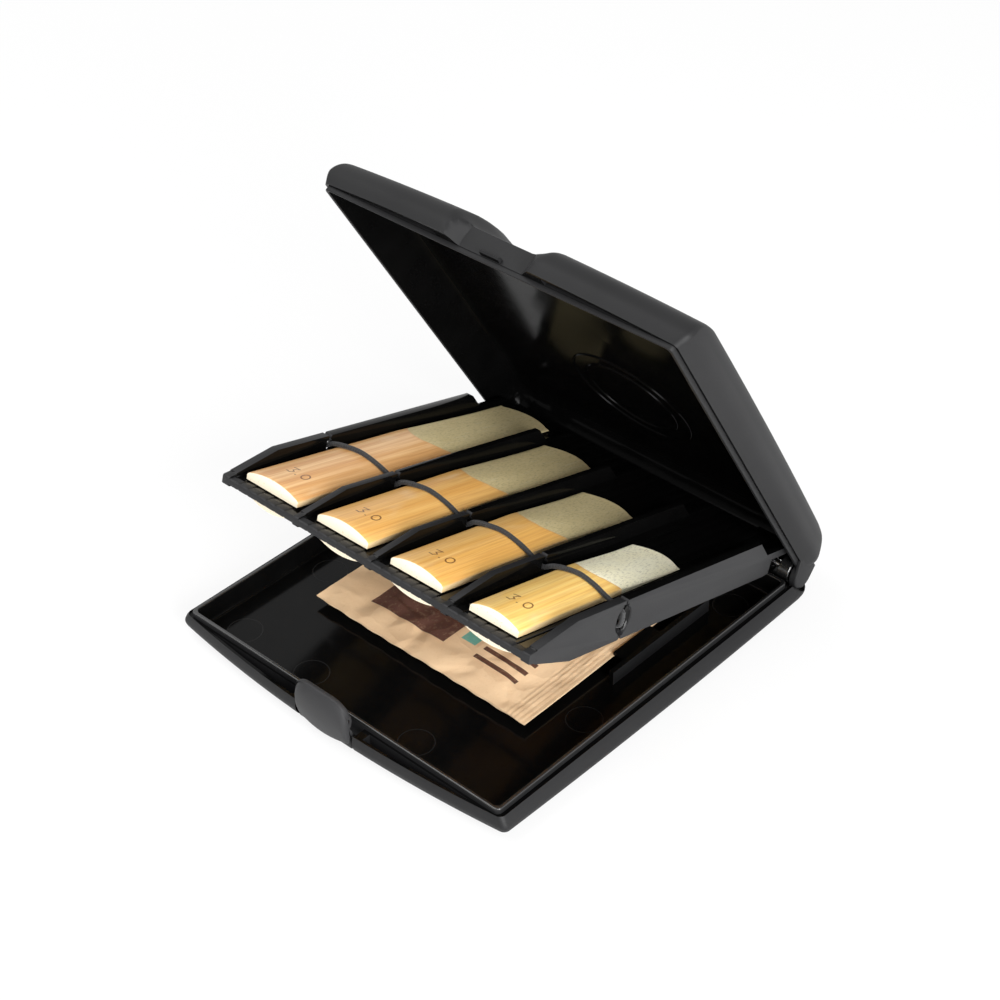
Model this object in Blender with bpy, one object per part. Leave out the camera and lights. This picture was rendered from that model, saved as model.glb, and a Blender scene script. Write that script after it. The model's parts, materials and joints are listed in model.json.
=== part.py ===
# Reed case: a hinged plastic case with a two-sided tray that carries eight reeds.
# Metres, +Z up, x across the case, front at -Y. The origin is under the middle of the
# base's cavity, on the flat underside. The lid, tray and latch stand open as in use.
import math

import bmesh
import bpy
from mathutils import Matrix, Vector

MM = 0.001
DEGREE = math.pi / 180

# Poses in which the case stands
LID_OPEN_ANGLE = 57.9 * DEGREE
TRAY_OPEN_ANGLE = 15.4 * DEGREE
LATCH_OPEN_ANGLE = 8.0 * DEGREE

# Reeds: (width at the butt, width at the tip, length, length of bark). The longest reed
# and the slots' width drive the size of the whole case.
LONGEST_REED = 85.0 * MM
REED_SIZES = (
    (15.3 * MM, 15.4 * MM, LONGEST_REED, 46.0 * MM),
    (14.3 * MM, 14.3 * MM, 77.4 * MM, 42.0 * MM),
    (13.9 * MM, 14.3 * MM, 66.0 * MM, 37.5 * MM),
    (12.5 * MM, 12.7 * MM, 55.8 * MM, 31.0 * MM),
)
# Shares of a slot's free room by which each reed's butt and tip lie off its middle line
TOP_REED_SHARES = ((-0.095, -0.098), (-0.077, -0.538), (-0.107, -0.577), (-0.143, -0.294))
BOTTOM_REED_SHARES = ((-0.143, -0.029), (-0.143, -0.038), (-0.231, -0.038), (-0.571, -0.39))
REED_HEIGHT = 2.95 * MM
REED_EDGE = 1.5 * MM
REED_TIP = 0.25 * MM
REED_TIP_CROWN = 2.2 * MM
REED_SEAT_GAP = 0.08 * MM
REED_LIP_SETBACK = 3.2 * MM
REED_TAIL_ROOM = 5.0 * MM

# Base: a straight cavity inside a skin that bows outward
CAVITY_HEIGHT = 5.4 * MM
FLOOR_THICKNESS = 2.0 * MM
RIM_WALL = 1.1 * MM
SKIN_WALL = 1.1 * MM
SKIN_DROP = 1.1 * MM
SIDE_REACH = 3.1 * MM
FRONT_REACH = 1.0 * MM
REAR_REACH = 9.4 * MM
SIDE_BOW = 0.7 * MM
FRONT_BOW = 3.6 * MM
FRONT_CORNER = 3.0 * MM
REAR_CORNER = 6.4 * MM
CAVITY_CORNER = 2.2 * MM
FLOOR_ROUND = 1.9 * MM
BASE_EDGE_ROUND = 5.4 * MM
BASE_FRONT_ROUND = 13.6 * MM
BASE_REAR_ROUND = 6.0 * MM
BASE_FRONT_LIFT = 0.8 * MM
REAR_EDGE_DROP = 4.3 * MM

# Hinge line, shared by the lid and the tray
HINGE_SETBACK = 4.64 * MM
HINGE_RISE = 0.08 * MM
PIN_RADIUS = 0.8 * MM
PIN_CLEARANCE = 0.3 * MM
KNUCKLE_RADIUS = 2.9 * MM
KNUCKLE_LENGTH = 3.0 * MM
TRAY_KNUCKLE_RADIUS = 2.5 * MM
TRAY_KNUCKLE_LENGTH = 5.5 * MM
TRAY_KNUCKLE_GAP = 2.6 * MM
TRAY_ARM_REACH = 2.0 * MM
TRAY_ARM_LAP = 0.4 * MM
EAR_RADIUS = 3.2 * MM
EAR_CLEARANCE = 0.35 * MM
EAR_BORE_DEPTH = 1.6 * MM
HINGE_GAP = 0.6 * MM

# Lid
LID_SIDE_STEP = 0.6 * MM
LID_SEAM_GAP = 0.35 * MM
LID_SKIN_RISE = 1.4 * MM
LID_HEIGHT = 12.5 * MM
LID_ROOF = 1.1 * MM
LID_FRONT_INSET = 0.47 * MM
LID_REAR_WALL = 1.5 * MM
LID_REAR_REACH = 8.4 * MM
LID_SIDE_REACH = 2.7 * MM
LID_EDGE_ROUND = 9.6 * MM
LID_FRONT_ROUND = 20.6 * MM
LID_REAR_ROUND = 10.0 * MM
CEILING_EDGE_ROUND = 2.4 * MM
CEILING_FRONT_ROUND = 15.4 * MM
CEILING_REAR_ROUND = 11.5 * MM
LID_REAR_EDGE_RISE = 3.2 * MM
RING_SETBACK = 22.4 * MM
RING_RADIUS = 15.7 * MM
RING_SPACING = 3.7 * MM
RING_RIB = 0.35 * MM

# Front pockets, thumb scoop and latch
LATCH_WIDTH = 16.0 * MM
LATCH_SIDE_GAP = 0.35 * MM
LATCH_THICKNESS = 2.0 * MM
LATCH_PROUD = 1.6 * MM
LATCH_HEIGHT = 14.4 * MM
LATCH_CORNER = 3.6 * MM
LATCH_CROWN_DROP = 0.4 * MM
LATCH_FOOT_RISE = 1.9 * MM
LATCH_BARREL_RADIUS = 1.35 * MM
LATCH_PIN_RADIUS = 0.5 * MM
LATCH_PIVOT_RISE = 3.1 * MM
LATCH_PIVOT_OUT = 2.95 * MM
LATCH_WEB = 1.9 * MM
HOOK_REACH = 2.3 * MM
HOOK_RISE = 7.4 * MM
HOOK_HEIGHT = 1.0 * MM
NUB_WIDTH = 5.0 * MM
NUB_HEIGHT = 1.1 * MM
NUB_NOSE = 0.55 * MM
NUB_REACH = 1.0 * MM
NUB_RISE = 1.5 * MM
SCOOP_FLARE = 4.0 * MM
POCKET_TIP = 0.24 * MM
POCKET_WALL = 0.15 * MM
BASE_POCKET_DEPTH = 3.9 * MM
LID_POCKET_DEPTH = 4.0 * MM

# Tray: four slots above and four below one ribbed plate
TRAY_MID_RISE = 6.1 * MM
SLOTS = 4
SLOT_WIDTH = 19.5 * MM
DIVIDER = 1.5 * MM
OUTER_WALL = 2.0 * MM
TRAY_SIDE_GAP = 1.05 * MM
TRAY_FRONT_GAP = 5.04 * MM
PLATE_HALF = 0.72 * MM
LIP_HALF = 0.8 * MM
LIP_DEPTH = 1.9 * MM
WALL_HALF = 4.5 * MM
WALL_TIP_HALF = 1.1 * MM
WALL_LAND = 0.13 * MM
RIBS = 7
GROOVE_WIDTH = 0.6 * MM
GROOVE_DEPTH = 0.32 * MM
TRAY_TAPER = 13.6 * MM
TRAY_WALL_REAR = 16.0 * MM
TRAY_WALL_END = 10.0 * MM
TRAY_REAR = 2.3 * MM
EDGE_ROUND = 0.25 * MM
GUSSET_WIDTH = 1.0 * MM
GUSSET_LENGTH = 3.2 * MM
BAND_SETBACK = 29.5 * MM
BAND_ROOM = 0.3 * MM
SLIT_FLOOR = 1.0 * MM
SLIT_WIDTH = 0.5 * MM
KEYHOLE_RISE = 1.1 * MM
NOTCH_WIDTH = 1.3 * MM
NOTCH_DEPTH = 0.8 * MM
HOLLOW_LENGTH = 4.8 * MM
HOLLOW_HEIGHT = 6.7 * MM
HOLLOW_DEPTH = 1.1 * MM

# Elastic band
BAND_RADIUS = 0.55 * MM
BAND_GAP = 0.1 * MM

# Humidity sachet and its clip
SACHET_SIDE_ROOM = 13.5 * MM
SACHET_REAR_ROOM = 5.0 * MM
SACHET_THICKNESS = 3.6 * MM
SACHET_EDGE = 0.6 * MM
SACHET_CENTRE_X = -0.5 * MM
SACHET_FRONT = 23.6 * MM
SACHET_GAP = 0.15 * MM
SACHET_CELLS = 14
CLIP_SIDE_ROOM = 10.9 * MM
CLIP_REAR_ROOM = 13.6 * MM
CLIP_RAIL_WIDTH = 1.2 * MM
CLIP_RAIL_LENGTH = 33.0 * MM
CLIP_HEIGHT = 3.4 * MM
CLIP_TAB_REACH = 3.2 * MM
CLIP_TAB_OFFSET = 5.3 * MM
CLIP_TAB_LENGTH = 12.0 * MM
CLIP_TAB_THICKNESS = 0.9 * MM
CLIP_TAB_STEP = 0.15 * MM

CUT = 1.0 * MM
WELD = 0.2 * MM

# The tray follows the reeds, the cavity follows the tray, and the lid the cavity
REED_FRONT = LONGEST_REED + REED_TAIL_ROOM
TRAY_FRONT = REED_FRONT + REED_LIP_SETBACK
BAND_STATION = TRAY_FRONT - BAND_SETBACK
SLOT_PITCH = SLOT_WIDTH + DIVIDER
SLOTS_HALF = SLOTS * SLOT_PITCH / 2
RIB_PITCH = SLOT_WIDTH / RIBS
TRAY_HALF = SLOTS_HALF - DIVIDER / 2 + OUTER_WALL
CAVITY_WIDTH = 2 * (TRAY_HALF + TRAY_SIDE_GAP)
CAVITY_DEPTH = TRAY_FRONT + TRAY_FRONT_GAP - HINGE_SETBACK
LID_WIDTH = CAVITY_WIDTH + 2 * LID_SIDE_STEP
KNUCKLE_OUTER_X = LID_WIDTH / 2 - HINGE_GAP
KNUCKLE_INNER_X = KNUCKLE_OUTER_X - KNUCKLE_LENGTH
TRAY_KNUCKLE_OUTER_X = KNUCKLE_INNER_X - TRAY_KNUCKLE_GAP
TRAY_KNUCKLE_INNER_X = TRAY_KNUCKLE_OUTER_X - TRAY_KNUCKLE_LENGTH

RIM = FLOOR_THICKNESS + CAVITY_HEIGHT
CAVITY_FRONT = -CAVITY_DEPTH / 2
CAVITY_REAR = CAVITY_DEPTH / 2
HINGE_Y = CAVITY_REAR + HINGE_SETBACK
HINGE_Z = RIM + HINGE_RISE
PIVOT_Y = CAVITY_FRONT - LATCH_PIVOT_OUT
PIVOT_Z = LATCH_PIVOT_RISE
LATCH_HALF = LATCH_WIDTH / 2
SKIN_FRONT = CAVITY_FRONT - FRONT_REACH - FRONT_BOW
LID_BOTTOM = RIM + LID_SEAM_GAP
LID_SKIN_EDGE = RIM + LID_SKIN_RISE
LID_TOP = RIM + LID_HEIGHT
LID_INNER_FRONT = CAVITY_FRONT - LID_FRONT_INSET
LID_OUTER_REAR = CAVITY_REAR + LID_REAR_REACH
SADDLE_WALL_Y = LID_INNER_FRONT - RIM_WALL
RING_CENTRE_Y = CAVITY_REAR - RING_SETBACK
SACHET_WIDTH = CAVITY_WIDTH - 2 * SACHET_SIDE_ROOM
SACHET_DEPTH = CAVITY_DEPTH - SACHET_FRONT - SACHET_REAR_ROOM
CLIP_RAIL_X = CAVITY_WIDTH / 2 - CLIP_SIDE_ROOM
CLIP_RAIL_Y = CAVITY_REAR - CLIP_REAR_ROOM - CLIP_RAIL_LENGTH
REED_FLAT = LIP_HALF + REED_SEAT_GAP
# The widest reed lies in the left slot above and in the right slot below
REED_LAYERS = (
    ("top", 1, list(zip(REED_SIZES, TOP_REED_SHARES))),
    ("bottom", -1, list(zip(reversed(REED_SIZES), BOTTOM_REED_SHARES))),
)

MATTE_SHELL = ("Matte black shell", (0.035, 0.035, 0.037, 1.0), 0.55, 0.0)
LATCH_BLACK = ("Matte black latch", (0.04, 0.04, 0.042, 1.0), 0.5, 0.0)
TRAY_BLACK = ("Satin black tray", (0.045, 0.045, 0.045, 1.0), 0.4, 0.0)
STEEL = ("Hinge steel", (0.6, 0.6, 0.62, 1.0), 0.25, 1.0)
ELASTIC = ("Black elastic", (0.02, 0.02, 0.02, 1.0), 0.8, 0.0)
CANE = ("Reed cane", (0.8, 0.6, 0.34, 1.0), 0.45, 0.0)
KRAFT = ("Kraft paper", (0.55, 0.42, 0.28, 1.0), 0.85, 0.0)

# Share lists: how far a ring stands in from the fullest outline at the side, front
# and rear, its height from the bottom of the profile, and how much of the bow it has
BASE_SKIN_SHARES = (
    (1.0, 1.0, 1.0, 0.0, 0.3),
    (0.54, 0.265, 0.4, 0.063, 0.7),
    (0.15, 0.07, 0.12, 0.286, 1.0),
    (0.0, 0.0, 0.0, 0.571, 1.0),
    (0.09, 0.0, 0.02, 0.825, 0.6),
    (0.22, 0.015, 0.05, 1.0, 0.2),
)
CAVITY_SHARES = (
    (0.0, 0.0),
    (0.13, 0.85),
    (0.5, 0.97),
    (1.0, 1.0),
)
LID_SKIN_SHARES = (
    (1.0, 1.0, 1.0, 1.0, 0.5),
    (0.583, 0.757, 0.65, 0.964, 0.8),
    (0.375, 0.563, 0.45, 0.9, 1.0),
    (0.25, 0.427, 0.32, 0.836, 1.0),
    (0.135, 0.252, 0.18, 0.727, 1.0),
    (0.052, 0.078, 0.08, 0.555, 1.0),
    (0.0, 0.0, 0.0, 0.282, 1.0),
    (0.125, 0.01, 0.01, 0.0, 0.2),
)
CEILING_SHARES = (
    (0.0, 0.0, 0.0, 0.0),
    (0.06, 0.017, 0.017, 0.421),
    (0.08, 0.069, 0.052, 0.602),
    (0.125, 0.224, 0.13, 0.756),
    (0.23, 0.392, 0.278, 0.873),
    (0.5, 0.663, 0.565, 0.955),
    (1.0, 1.0, 1.0, 1.0),
)
# The latch's outer face from its foot up: share of the way from the fullest point back to
# the skin, and of the latch's height. The hook from its root to its underside: shares of
# its reach and of its height.
LATCH_FACE_SHARES = (
    (0.75, 0.06),
    (0.2, 0.2),
    (0.0, 0.42),
    (0.125, 0.64),
    (0.5, 0.84),
    (0.8, 0.95),
)
HOOK_SHARES = (
    (0.11, 2.4),
    (0.89, 1.0),
    (1.0, 0.7),
    (1.0, 0.0),
    (0.5, -0.2),
    (0.0, -0.5),
)
# Where the sections of a reed's bark, vamp and tip lie along them
BARK_SHARES = (0.0, 0.5, 1.0)
VAMP_SHARES = (0.06, 0.3, 0.6, 1.0)
TIP_SHARES = (0.5, 1.0)
TIP_NARROWING_SHARE = 0.12
VAMP_POWER = 1.35
# Where the band's points lie across a reed's half width
BAND_SHARES = (-1.08, -0.62, 0.0, 0.62, 1.08)
# How square the sachet's swell is, and where its crimped edge starts
SACHET_SQUARE_SHARE = 0.85
SACHET_CRIMP_SHARE = 0.95
# The front of the underside rises only on rings whose height share is below this one
LIFT_LIMIT_SHARE = 0.2

CORNER_STEPS = 5
SIDE_STEPS = 8
FRONT_STEPS = 16
REAR_STEPS = 4
ROUND_STEPS = 32
SLIT_STEPS = 8
LENS_STEPS = 24
REED_ARC_STEPS = 10


def clear_scene():
    for thing in list(bpy.data.objects):
        bpy.data.objects.remove(thing, do_unlink=True)


def material(look):
    name, colour, roughness, metallic = look
    found = bpy.data.materials.get(name)
    if found:
        return found
    made = bpy.data.materials.new(name)
    made.use_nodes = True
    shader = made.node_tree.nodes["Principled BSDF"]
    shader.inputs["Base Color"].default_value = colour
    shader.inputs["Roughness"].default_value = roughness
    shader.inputs["Metallic"].default_value = metallic
    return made


def object_from(work, name, look=None):
    """Make an object whose faces all point out, whichever way round they were made."""
    bmesh.ops.recalc_face_normals(work, faces=work.faces)
    if work.calc_volume(signed=True) < 0:
        bmesh.ops.reverse_faces(work, faces=work.faces)
    mesh = bpy.data.meshes.new(name)
    work.to_mesh(mesh)
    work.free()
    thing = bpy.data.objects.new(name, mesh)
    bpy.context.scene.collection.objects.link(thing)
    if look:
        mesh.materials.append(material(look))
    return thing


def loft(name, rings, look=None):
    """Join rings of equal length into one closed body with a flat cap at each end."""
    work = bmesh.new()
    loops = [[work.verts.new(point) for point in ring] for ring in rings]
    for lower, upper in zip(loops, loops[1:]):
        for index, corner in enumerate(lower):
            after = (index + 1) % len(lower)
            work.faces.new((corner, lower[after], upper[after], upper[index]))
    work.faces.new(list(reversed(loops[0])))
    work.faces.new(loops[-1])
    return object_from(work, name, look)


def prism(name, outline, axis, start, end, look=None):
    """Extrude a flat outline along x, y or z; the outline holds the other two places."""
    def place(a, b, along):
        return {"x": (along, a, b), "y": (a, along, b), "z": (a, b, along)}[axis]
    rings = [[place(a, b, along) for a, b in outline] for along in (start, end)]
    return loft(name, rings, look)


def box(name, low, high):
    outline = [(low[1], low[2]), (high[1], low[2]), (high[1], high[2]), (low[1], high[2])]
    return prism(name, outline, "x", low[0], high[0])


def circle(centre, radius, steps=ROUND_STEPS):
    turns = [2 * math.pi * step / steps for step in range(steps)]
    return [(centre[0] + radius * math.cos(a), centre[1] + radius * math.sin(a)) for a in turns]


def rod(name, centre, radius, start, end, look=None):
    """A cylinder that lies along x around the line through centre."""
    return prism(name, circle(centre, radius), "x", start, end, look)


def combine(target, tool, operation):
    """Cut, keep or add the tool's volume, then take the tool away."""
    tool.hide_render = True
    tool.display_type = "WIRE"
    change = target.modifiers.new(operation.lower(), "BOOLEAN")
    change.operation = operation
    change.solver = "EXACT"
    change.object = tool
    bpy.context.view_layer.update()
    settled = target.evaluated_get(bpy.context.evaluated_depsgraph_get())
    mesh = bpy.data.meshes.new_from_object(settled)
    target.modifiers.clear()
    old = target.data
    mesh.name = old.name
    target.data = mesh
    bpy.data.meshes.remove(old)
    bpy.data.objects.remove(tool, do_unlink=True)
    return target


def cut(target, tool):
    return combine(target, tool, "DIFFERENCE")


def add(target, tool):
    return combine(target, tool, "UNION")


def smooth(thing, angle=35 * DEGREE):
    thing.data.shade_smooth()
    thing.data.set_sharp_from_angle(angle=angle)
    return thing


def bowed_outline(half_width, front, rear, corners, side_bow, front_bow):
    """A rounded oblong, seen from above, whose sides and front swell outward."""
    front_corner, rear_corner = corners
    left_front = (-half_width + front_corner, front + front_corner, front_corner, math.pi)
    right_front = (half_width - front_corner, front + front_corner, front_corner, 1.5 * math.pi)
    right_rear = (half_width - rear_corner, rear - rear_corner, rear_corner, 0.0)
    left_rear = (-half_width + rear_corner, rear - rear_corner, rear_corner, 0.5 * math.pi)
    steps = (FRONT_STEPS, SIDE_STEPS, REAR_STEPS, SIDE_STEPS)
    points = []
    order = (left_front, right_front, right_rear, left_rear)
    for place, (x, y, radius, start) in enumerate(order):
        arc = []
        for step in range(CORNER_STEPS + 1):
            angle = start + 0.5 * math.pi * step / CORNER_STEPS
            arc.append((x + radius * math.cos(angle), y + radius * math.sin(angle)))
        if points:
            points += between(points[-1], arc[0], steps[place - 1])
        points += arc
    points += between(points[-1], points[0], steps[-1])
    middle = (front + rear) / 2
    half_depth = (rear - front) / 2
    swelled = []
    for x, y in points:
        across = x / half_width
        along = (y - middle) / half_depth
        swelled_x = x + side_bow * across * (1 - along * along)
        swelled_y = y - front_bow * (1 - across * across) * max(0.0, -along)
        swelled.append((swelled_x, swelled_y))
    return swelled


def between(first, last, steps):
    """The points strictly between two ends."""
    shares = [step / steps for step in range(1, steps)]
    return [(first[0] + (last[0] - first[0]) * s, first[1] + (last[1] - first[1]) * s)
            for s in shares]


def raised(outline, height):
    return [(x, y, height) for x, y in outline]


def base_rings():
    half = CAVITY_WIDTH / 2 + SIDE_REACH
    front = CAVITY_FRONT - FRONT_REACH
    rear = CAVITY_REAR + REAR_REACH
    skin_height = RIM - SKIN_DROP
    rings = []
    for side_share, front_share, rear_share, height_share, bow_share in BASE_SKIN_SHARES:
        outline = bowed_outline(
            half - side_share * BASE_EDGE_ROUND,
            front + front_share * BASE_FRONT_ROUND,
            rear - rear_share * BASE_REAR_ROUND,
            (FRONT_CORNER, REAR_CORNER),
            bow_share * SIDE_BOW,
            FRONT_BOW,
        )
        lift = BASE_FRONT_LIFT if 0 < height_share < LIFT_LIMIT_SHARE else 0
        lift_end = front + BASE_FRONT_ROUND
        ring = []
        for x, y in outline:
            reach = min(max((lift_end - y) / BASE_FRONT_ROUND, 0.0), 1.0)
            ring.append((x, y, height_share * skin_height + lift * reach * reach))
        rings.append(ring)
    wall_corners = (CAVITY_CORNER + RIM_WALL, CAVITY_CORNER + RIM_WALL)
    wall = bowed_outline(CAVITY_WIDTH / 2 + RIM_WALL, CAVITY_FRONT - RIM_WALL,
                         CAVITY_REAR + RIM_WALL, wall_corners, 0, 0)
    rings.append(raised(wall, skin_height))
    rings.append(raised(wall, RIM))
    for inset_share, depth_share in CAVITY_SHARES:
        inset = inset_share * FLOOR_ROUND
        outline = bowed_outline(CAVITY_WIDTH / 2 - inset, CAVITY_FRONT + inset,
                                CAVITY_REAR - inset, (CAVITY_CORNER, CAVITY_CORNER), 0, 0)
        rings.append(raised(outline, RIM - depth_share * CAVITY_HEIGHT))
    return rings


def pocket_outline(start_x, side):
    """A crescent between the straight inner wall and the bowed front skin."""
    inner = SADDLE_WALL_Y - POCKET_WALL
    outer = SKIN_FRONT + SKIN_WALL
    half = CAVITY_WIDTH / 2 + SIDE_REACH
    end_x = half * math.sqrt((inner - outer - POCKET_TIP) / FRONT_BOW)
    steps = FRONT_STEPS // 2
    xs = [start_x + (end_x - start_x) * step / steps for step in range(steps + 1)]
    curve = [outer + FRONT_BOW * (x / half) ** 2 for x in xs]
    outline = [(side * start_x, inner), (side * end_x, inner)]
    outline += [(side * x, y) for x, y in zip(reversed(xs), reversed(curve))]
    return outline


def make_base():
    base = loft("base_shell", base_rings(), MATTE_SHELL)
    edge = RIM - SKIN_DROP
    slot_half = LATCH_HALF + LATCH_SIDE_GAP
    rear_top = RIM - REAR_EDGE_DROP
    wall_rear = CAVITY_REAR + RIM_WALL
    rear_limit = CAVITY_REAR + REAR_REACH + CUT
    outside_x = CAVITY_WIDTH / 2 + SIDE_REACH + SIDE_BOW + CUT
    ear_x = LID_WIDTH / 2 - EAR_CLEARANCE
    swing = EAR_RADIUS + EAR_CLEARANCE
    bore = PIN_RADIUS + PIN_CLEARANCE
    axis = (HINGE_Y, HINGE_Z)

    cut(base, box("slot", (-slot_half, SKIN_FRONT - CUT, -CUT),
                  (slot_half, CAVITY_FRONT - RIM_WALL, RIM + CUT)))
    for side in (-1, 1):
        outline = pocket_outline(slot_half + LATCH_WEB, side)
        cut(base, prism("pocket", outline, "z", edge - BASE_POCKET_DEPTH, edge + CUT))
    cut(base, box("rear", (-ear_x, wall_rear, rear_top), (ear_x, rear_limit, RIM + CUT)))
    for side in (-1, 1):
        low, high = sorted((side * ear_x, side * outside_x))
        cut(base, box("corner", (low, HINGE_Y, rear_top), (high, rear_limit, RIM + CUT)))
        cut(base, rod("ear room", axis, swing, low, high))

    rail_end = TRAY_KNUCKLE_INNER_X - HINGE_GAP
    spans = ((-rail_end, rail_end), (KNUCKLE_INNER_X, KNUCKLE_OUTER_X),
             (-KNUCKLE_OUTER_X, -KNUCKLE_INNER_X))
    web_front = HINGE_Y - KNUCKLE_RADIUS / 2
    web_rear = HINGE_Y + KNUCKLE_RADIUS / 2
    web_foot = rear_top - WELD
    web = [(web_front, web_foot), (web_rear, web_foot), (web_rear, HINGE_Z), (web_front, HINGE_Z)]
    for start, end in spans:
        barrel = rod("barrel", axis, KNUCKLE_RADIUS, start, end)
        add(barrel, prism("web", web, "x", start + WELD, end - WELD))
        add(base, barrel)
    cut(base, rod("pin bore", axis, bore, -outside_x, outside_x))

    pin_room = LATCH_PIN_RADIUS + PIN_CLEARANCE
    reach = slot_half + LATCH_WEB + CUT
    cut(base, rod("latch bore", (PIVOT_Y, PIVOT_Z), pin_room, -reach, reach))

    top = FLOOR_THICKNESS + CLIP_HEIGHT
    tab_y = CLIP_RAIL_Y + CLIP_TAB_OFFSET
    tab_end = CLIP_RAIL_X + CLIP_RAIL_WIDTH - WELD
    rail = box("rail", (CLIP_RAIL_X, CLIP_RAIL_Y, FLOOR_THICKNESS - WELD),
               (CLIP_RAIL_X + CLIP_RAIL_WIDTH, CLIP_RAIL_Y + CLIP_RAIL_LENGTH, top))
    add(rail, box("tab", (CLIP_RAIL_X - CLIP_TAB_REACH, tab_y, top - CLIP_TAB_THICKNESS),
                  (tab_end, tab_y + CLIP_TAB_LENGTH, top - CLIP_TAB_STEP)))
    add(base, rail)
    return smooth(base)


def lid_rings():
    half = LID_WIDTH / 2 + LID_SIDE_REACH
    front = CAVITY_FRONT - FRONT_REACH
    skin_height = LID_TOP - LID_SKIN_EDGE
    rings = []
    for side_share, front_share, rear_share, height_share, bow_share in LID_SKIN_SHARES:
        outline = bowed_outline(
            half - side_share * LID_EDGE_ROUND,
            front + front_share * LID_FRONT_ROUND,
            LID_OUTER_REAR - rear_share * LID_REAR_ROUND,
            (FRONT_CORNER, REAR_CORNER),
            bow_share * SIDE_BOW,
            FRONT_BOW,
        )
        rings.append(raised(outline, LID_SKIN_EDGE + height_share * skin_height))
    inner_half = LID_WIDTH / 2
    inner_rear = LID_OUTER_REAR - LID_REAR_WALL
    corner = CAVITY_CORNER + RIM_WALL
    rear_corner = REAR_CORNER - LID_REAR_WALL
    wall = bowed_outline(inner_half + RIM_WALL, SADDLE_WALL_Y, inner_rear + RIM_WALL,
                         (corner, REAR_CORNER - WELD), 0, 0)
    rings.append(raised(wall, LID_SKIN_EDGE))
    rings.append(raised(wall, LID_BOTTOM))
    ceiling_height = LID_TOP - LID_ROOF - LID_BOTTOM
    for side_share, front_share, rear_share, height_share in CEILING_SHARES:
        outline = bowed_outline(
            inner_half - side_share * CEILING_EDGE_ROUND,
            LID_INNER_FRONT + front_share * CEILING_FRONT_ROUND,
            inner_rear - rear_share * CEILING_REAR_ROUND,
            (CAVITY_CORNER, rear_corner),
            0,
            0,
        )
        rings.append(raised(outline, LID_BOTTOM + height_share * ceiling_height))
    return rings


def scoop_outline():
    """The thumb scoop seen from above: flat behind the latch, flaring out beside it."""
    flat = LATCH_HALF + LATCH_SIDE_GAP + WELD
    steps = CORNER_STEPS
    front = SKIN_FRONT - CUT
    rise = SADDLE_WALL_Y - front
    right = []
    for step in range(steps + 1):
        share = step / steps
        right.append((flat + SCOOP_FLARE * share * share, SADDLE_WALL_Y - rise * share))
    left = [(-x, y) for x, y in reversed(right)]
    return right + left


def make_lid():
    lid = loft("lid_shell", lid_rings(), MATTE_SHELL)
    axis = (HINGE_Y, HINGE_Z)
    ear_x = LID_WIDTH / 2
    rear_edge = HINGE_Z + LID_REAR_EDGE_RISE
    rear_limit = LID_OUTER_REAR + CUT
    inside_x = KNUCKLE_OUTER_X + HINGE_GAP
    cut(lid, prism("scoop", scoop_outline(), "z", LID_BOTTOM - CUT, LID_TOP + CUT))
    slot_half = LATCH_HALF + LATCH_SIDE_GAP
    for side in (-1, 1):
        outline = pocket_outline(slot_half + SCOOP_FLARE + LATCH_WEB, side)
        roof = LID_SKIN_EDGE + LID_POCKET_DEPTH
        cut(lid, prism("pocket", outline, "z", LID_SKIN_EDGE - CUT, roof))
    cut(lid, box("rear", (-inside_x, CAVITY_REAR + WELD, LID_BOTTOM - CUT),
                 (inside_x, rear_limit, rear_edge)))
    for side in (-1, 1):
        low, high = sorted((side * ear_x, side * (ear_x + LID_SIDE_REACH - WELD)))
        add(lid, rod("ear", axis, EAR_RADIUS, low, high))
        low, high = sorted((side * (ear_x - CUT), side * (ear_x + EAR_BORE_DEPTH)))
        cut(lid, rod("ear bore", axis, PIN_RADIUS + PIN_CLEARANCE, low, high))
    root = SADDLE_WALL_Y + WELD
    nose = SADDLE_WALL_Y - NUB_REACH
    low = RIM + NUB_RISE
    slant = (NUB_HEIGHT - NUB_NOSE) / 2
    nub = [(root, low), (nose, low + slant), (nose, low + slant + NUB_NOSE), (root, low + NUB_HEIGHT)]
    add(lid, prism("nub", nub, "x", -NUB_WIDTH / 2, NUB_WIDTH / 2))
    for radius in (RING_RADIUS, RING_RADIUS - RING_SPACING):
        add(lid, ceiling_ring(radius))
    return smooth(lid)


def ceiling_ring(radius):
    """A low round rib that stands down from the lid's ceiling."""
    ceiling = LID_TOP - LID_ROOF
    crest = RING_RIB / 2
    section = [(-RING_RIB, WELD), (-crest, -RING_RIB), (crest, -RING_RIB), (RING_RIB, WELD)]
    work = bmesh.new()
    steps = ROUND_STEPS * 2
    loops = []
    for step in range(steps):
        angle = 2 * math.pi * step / steps
        loop = []
        for out, up in section:
            reach = radius + out
            y = RING_CENTRE_Y + reach * math.sin(angle)
            loop.append(work.verts.new((reach * math.cos(angle), y, ceiling + up)))
        loops.append(loop)
    for step, loop in enumerate(loops):
        following = loops[(step + 1) % steps]
        for index in range(len(section)):
            after = (index + 1) % len(section)
            work.faces.new((loop[index], loop[after], following[after], following[index]))
    return object_from(work, "ring")


def tray_section(station, rib, groove, wall_top, wall_bottom):
    """One comb-shaped cross-section of the tray, at a distance in front of the hinge."""
    top = comb_line(rib, groove, wall_top)
    bottom = comb_line(rib, groove, wall_bottom)
    y = HINGE_Y - station
    middle = HINGE_Z + TRAY_MID_RISE
    under = [(x, y, middle - rise) for x, rise in bottom]
    over = [(x, y, middle + rise) for x, rise in reversed(top)]
    return under + over


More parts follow.
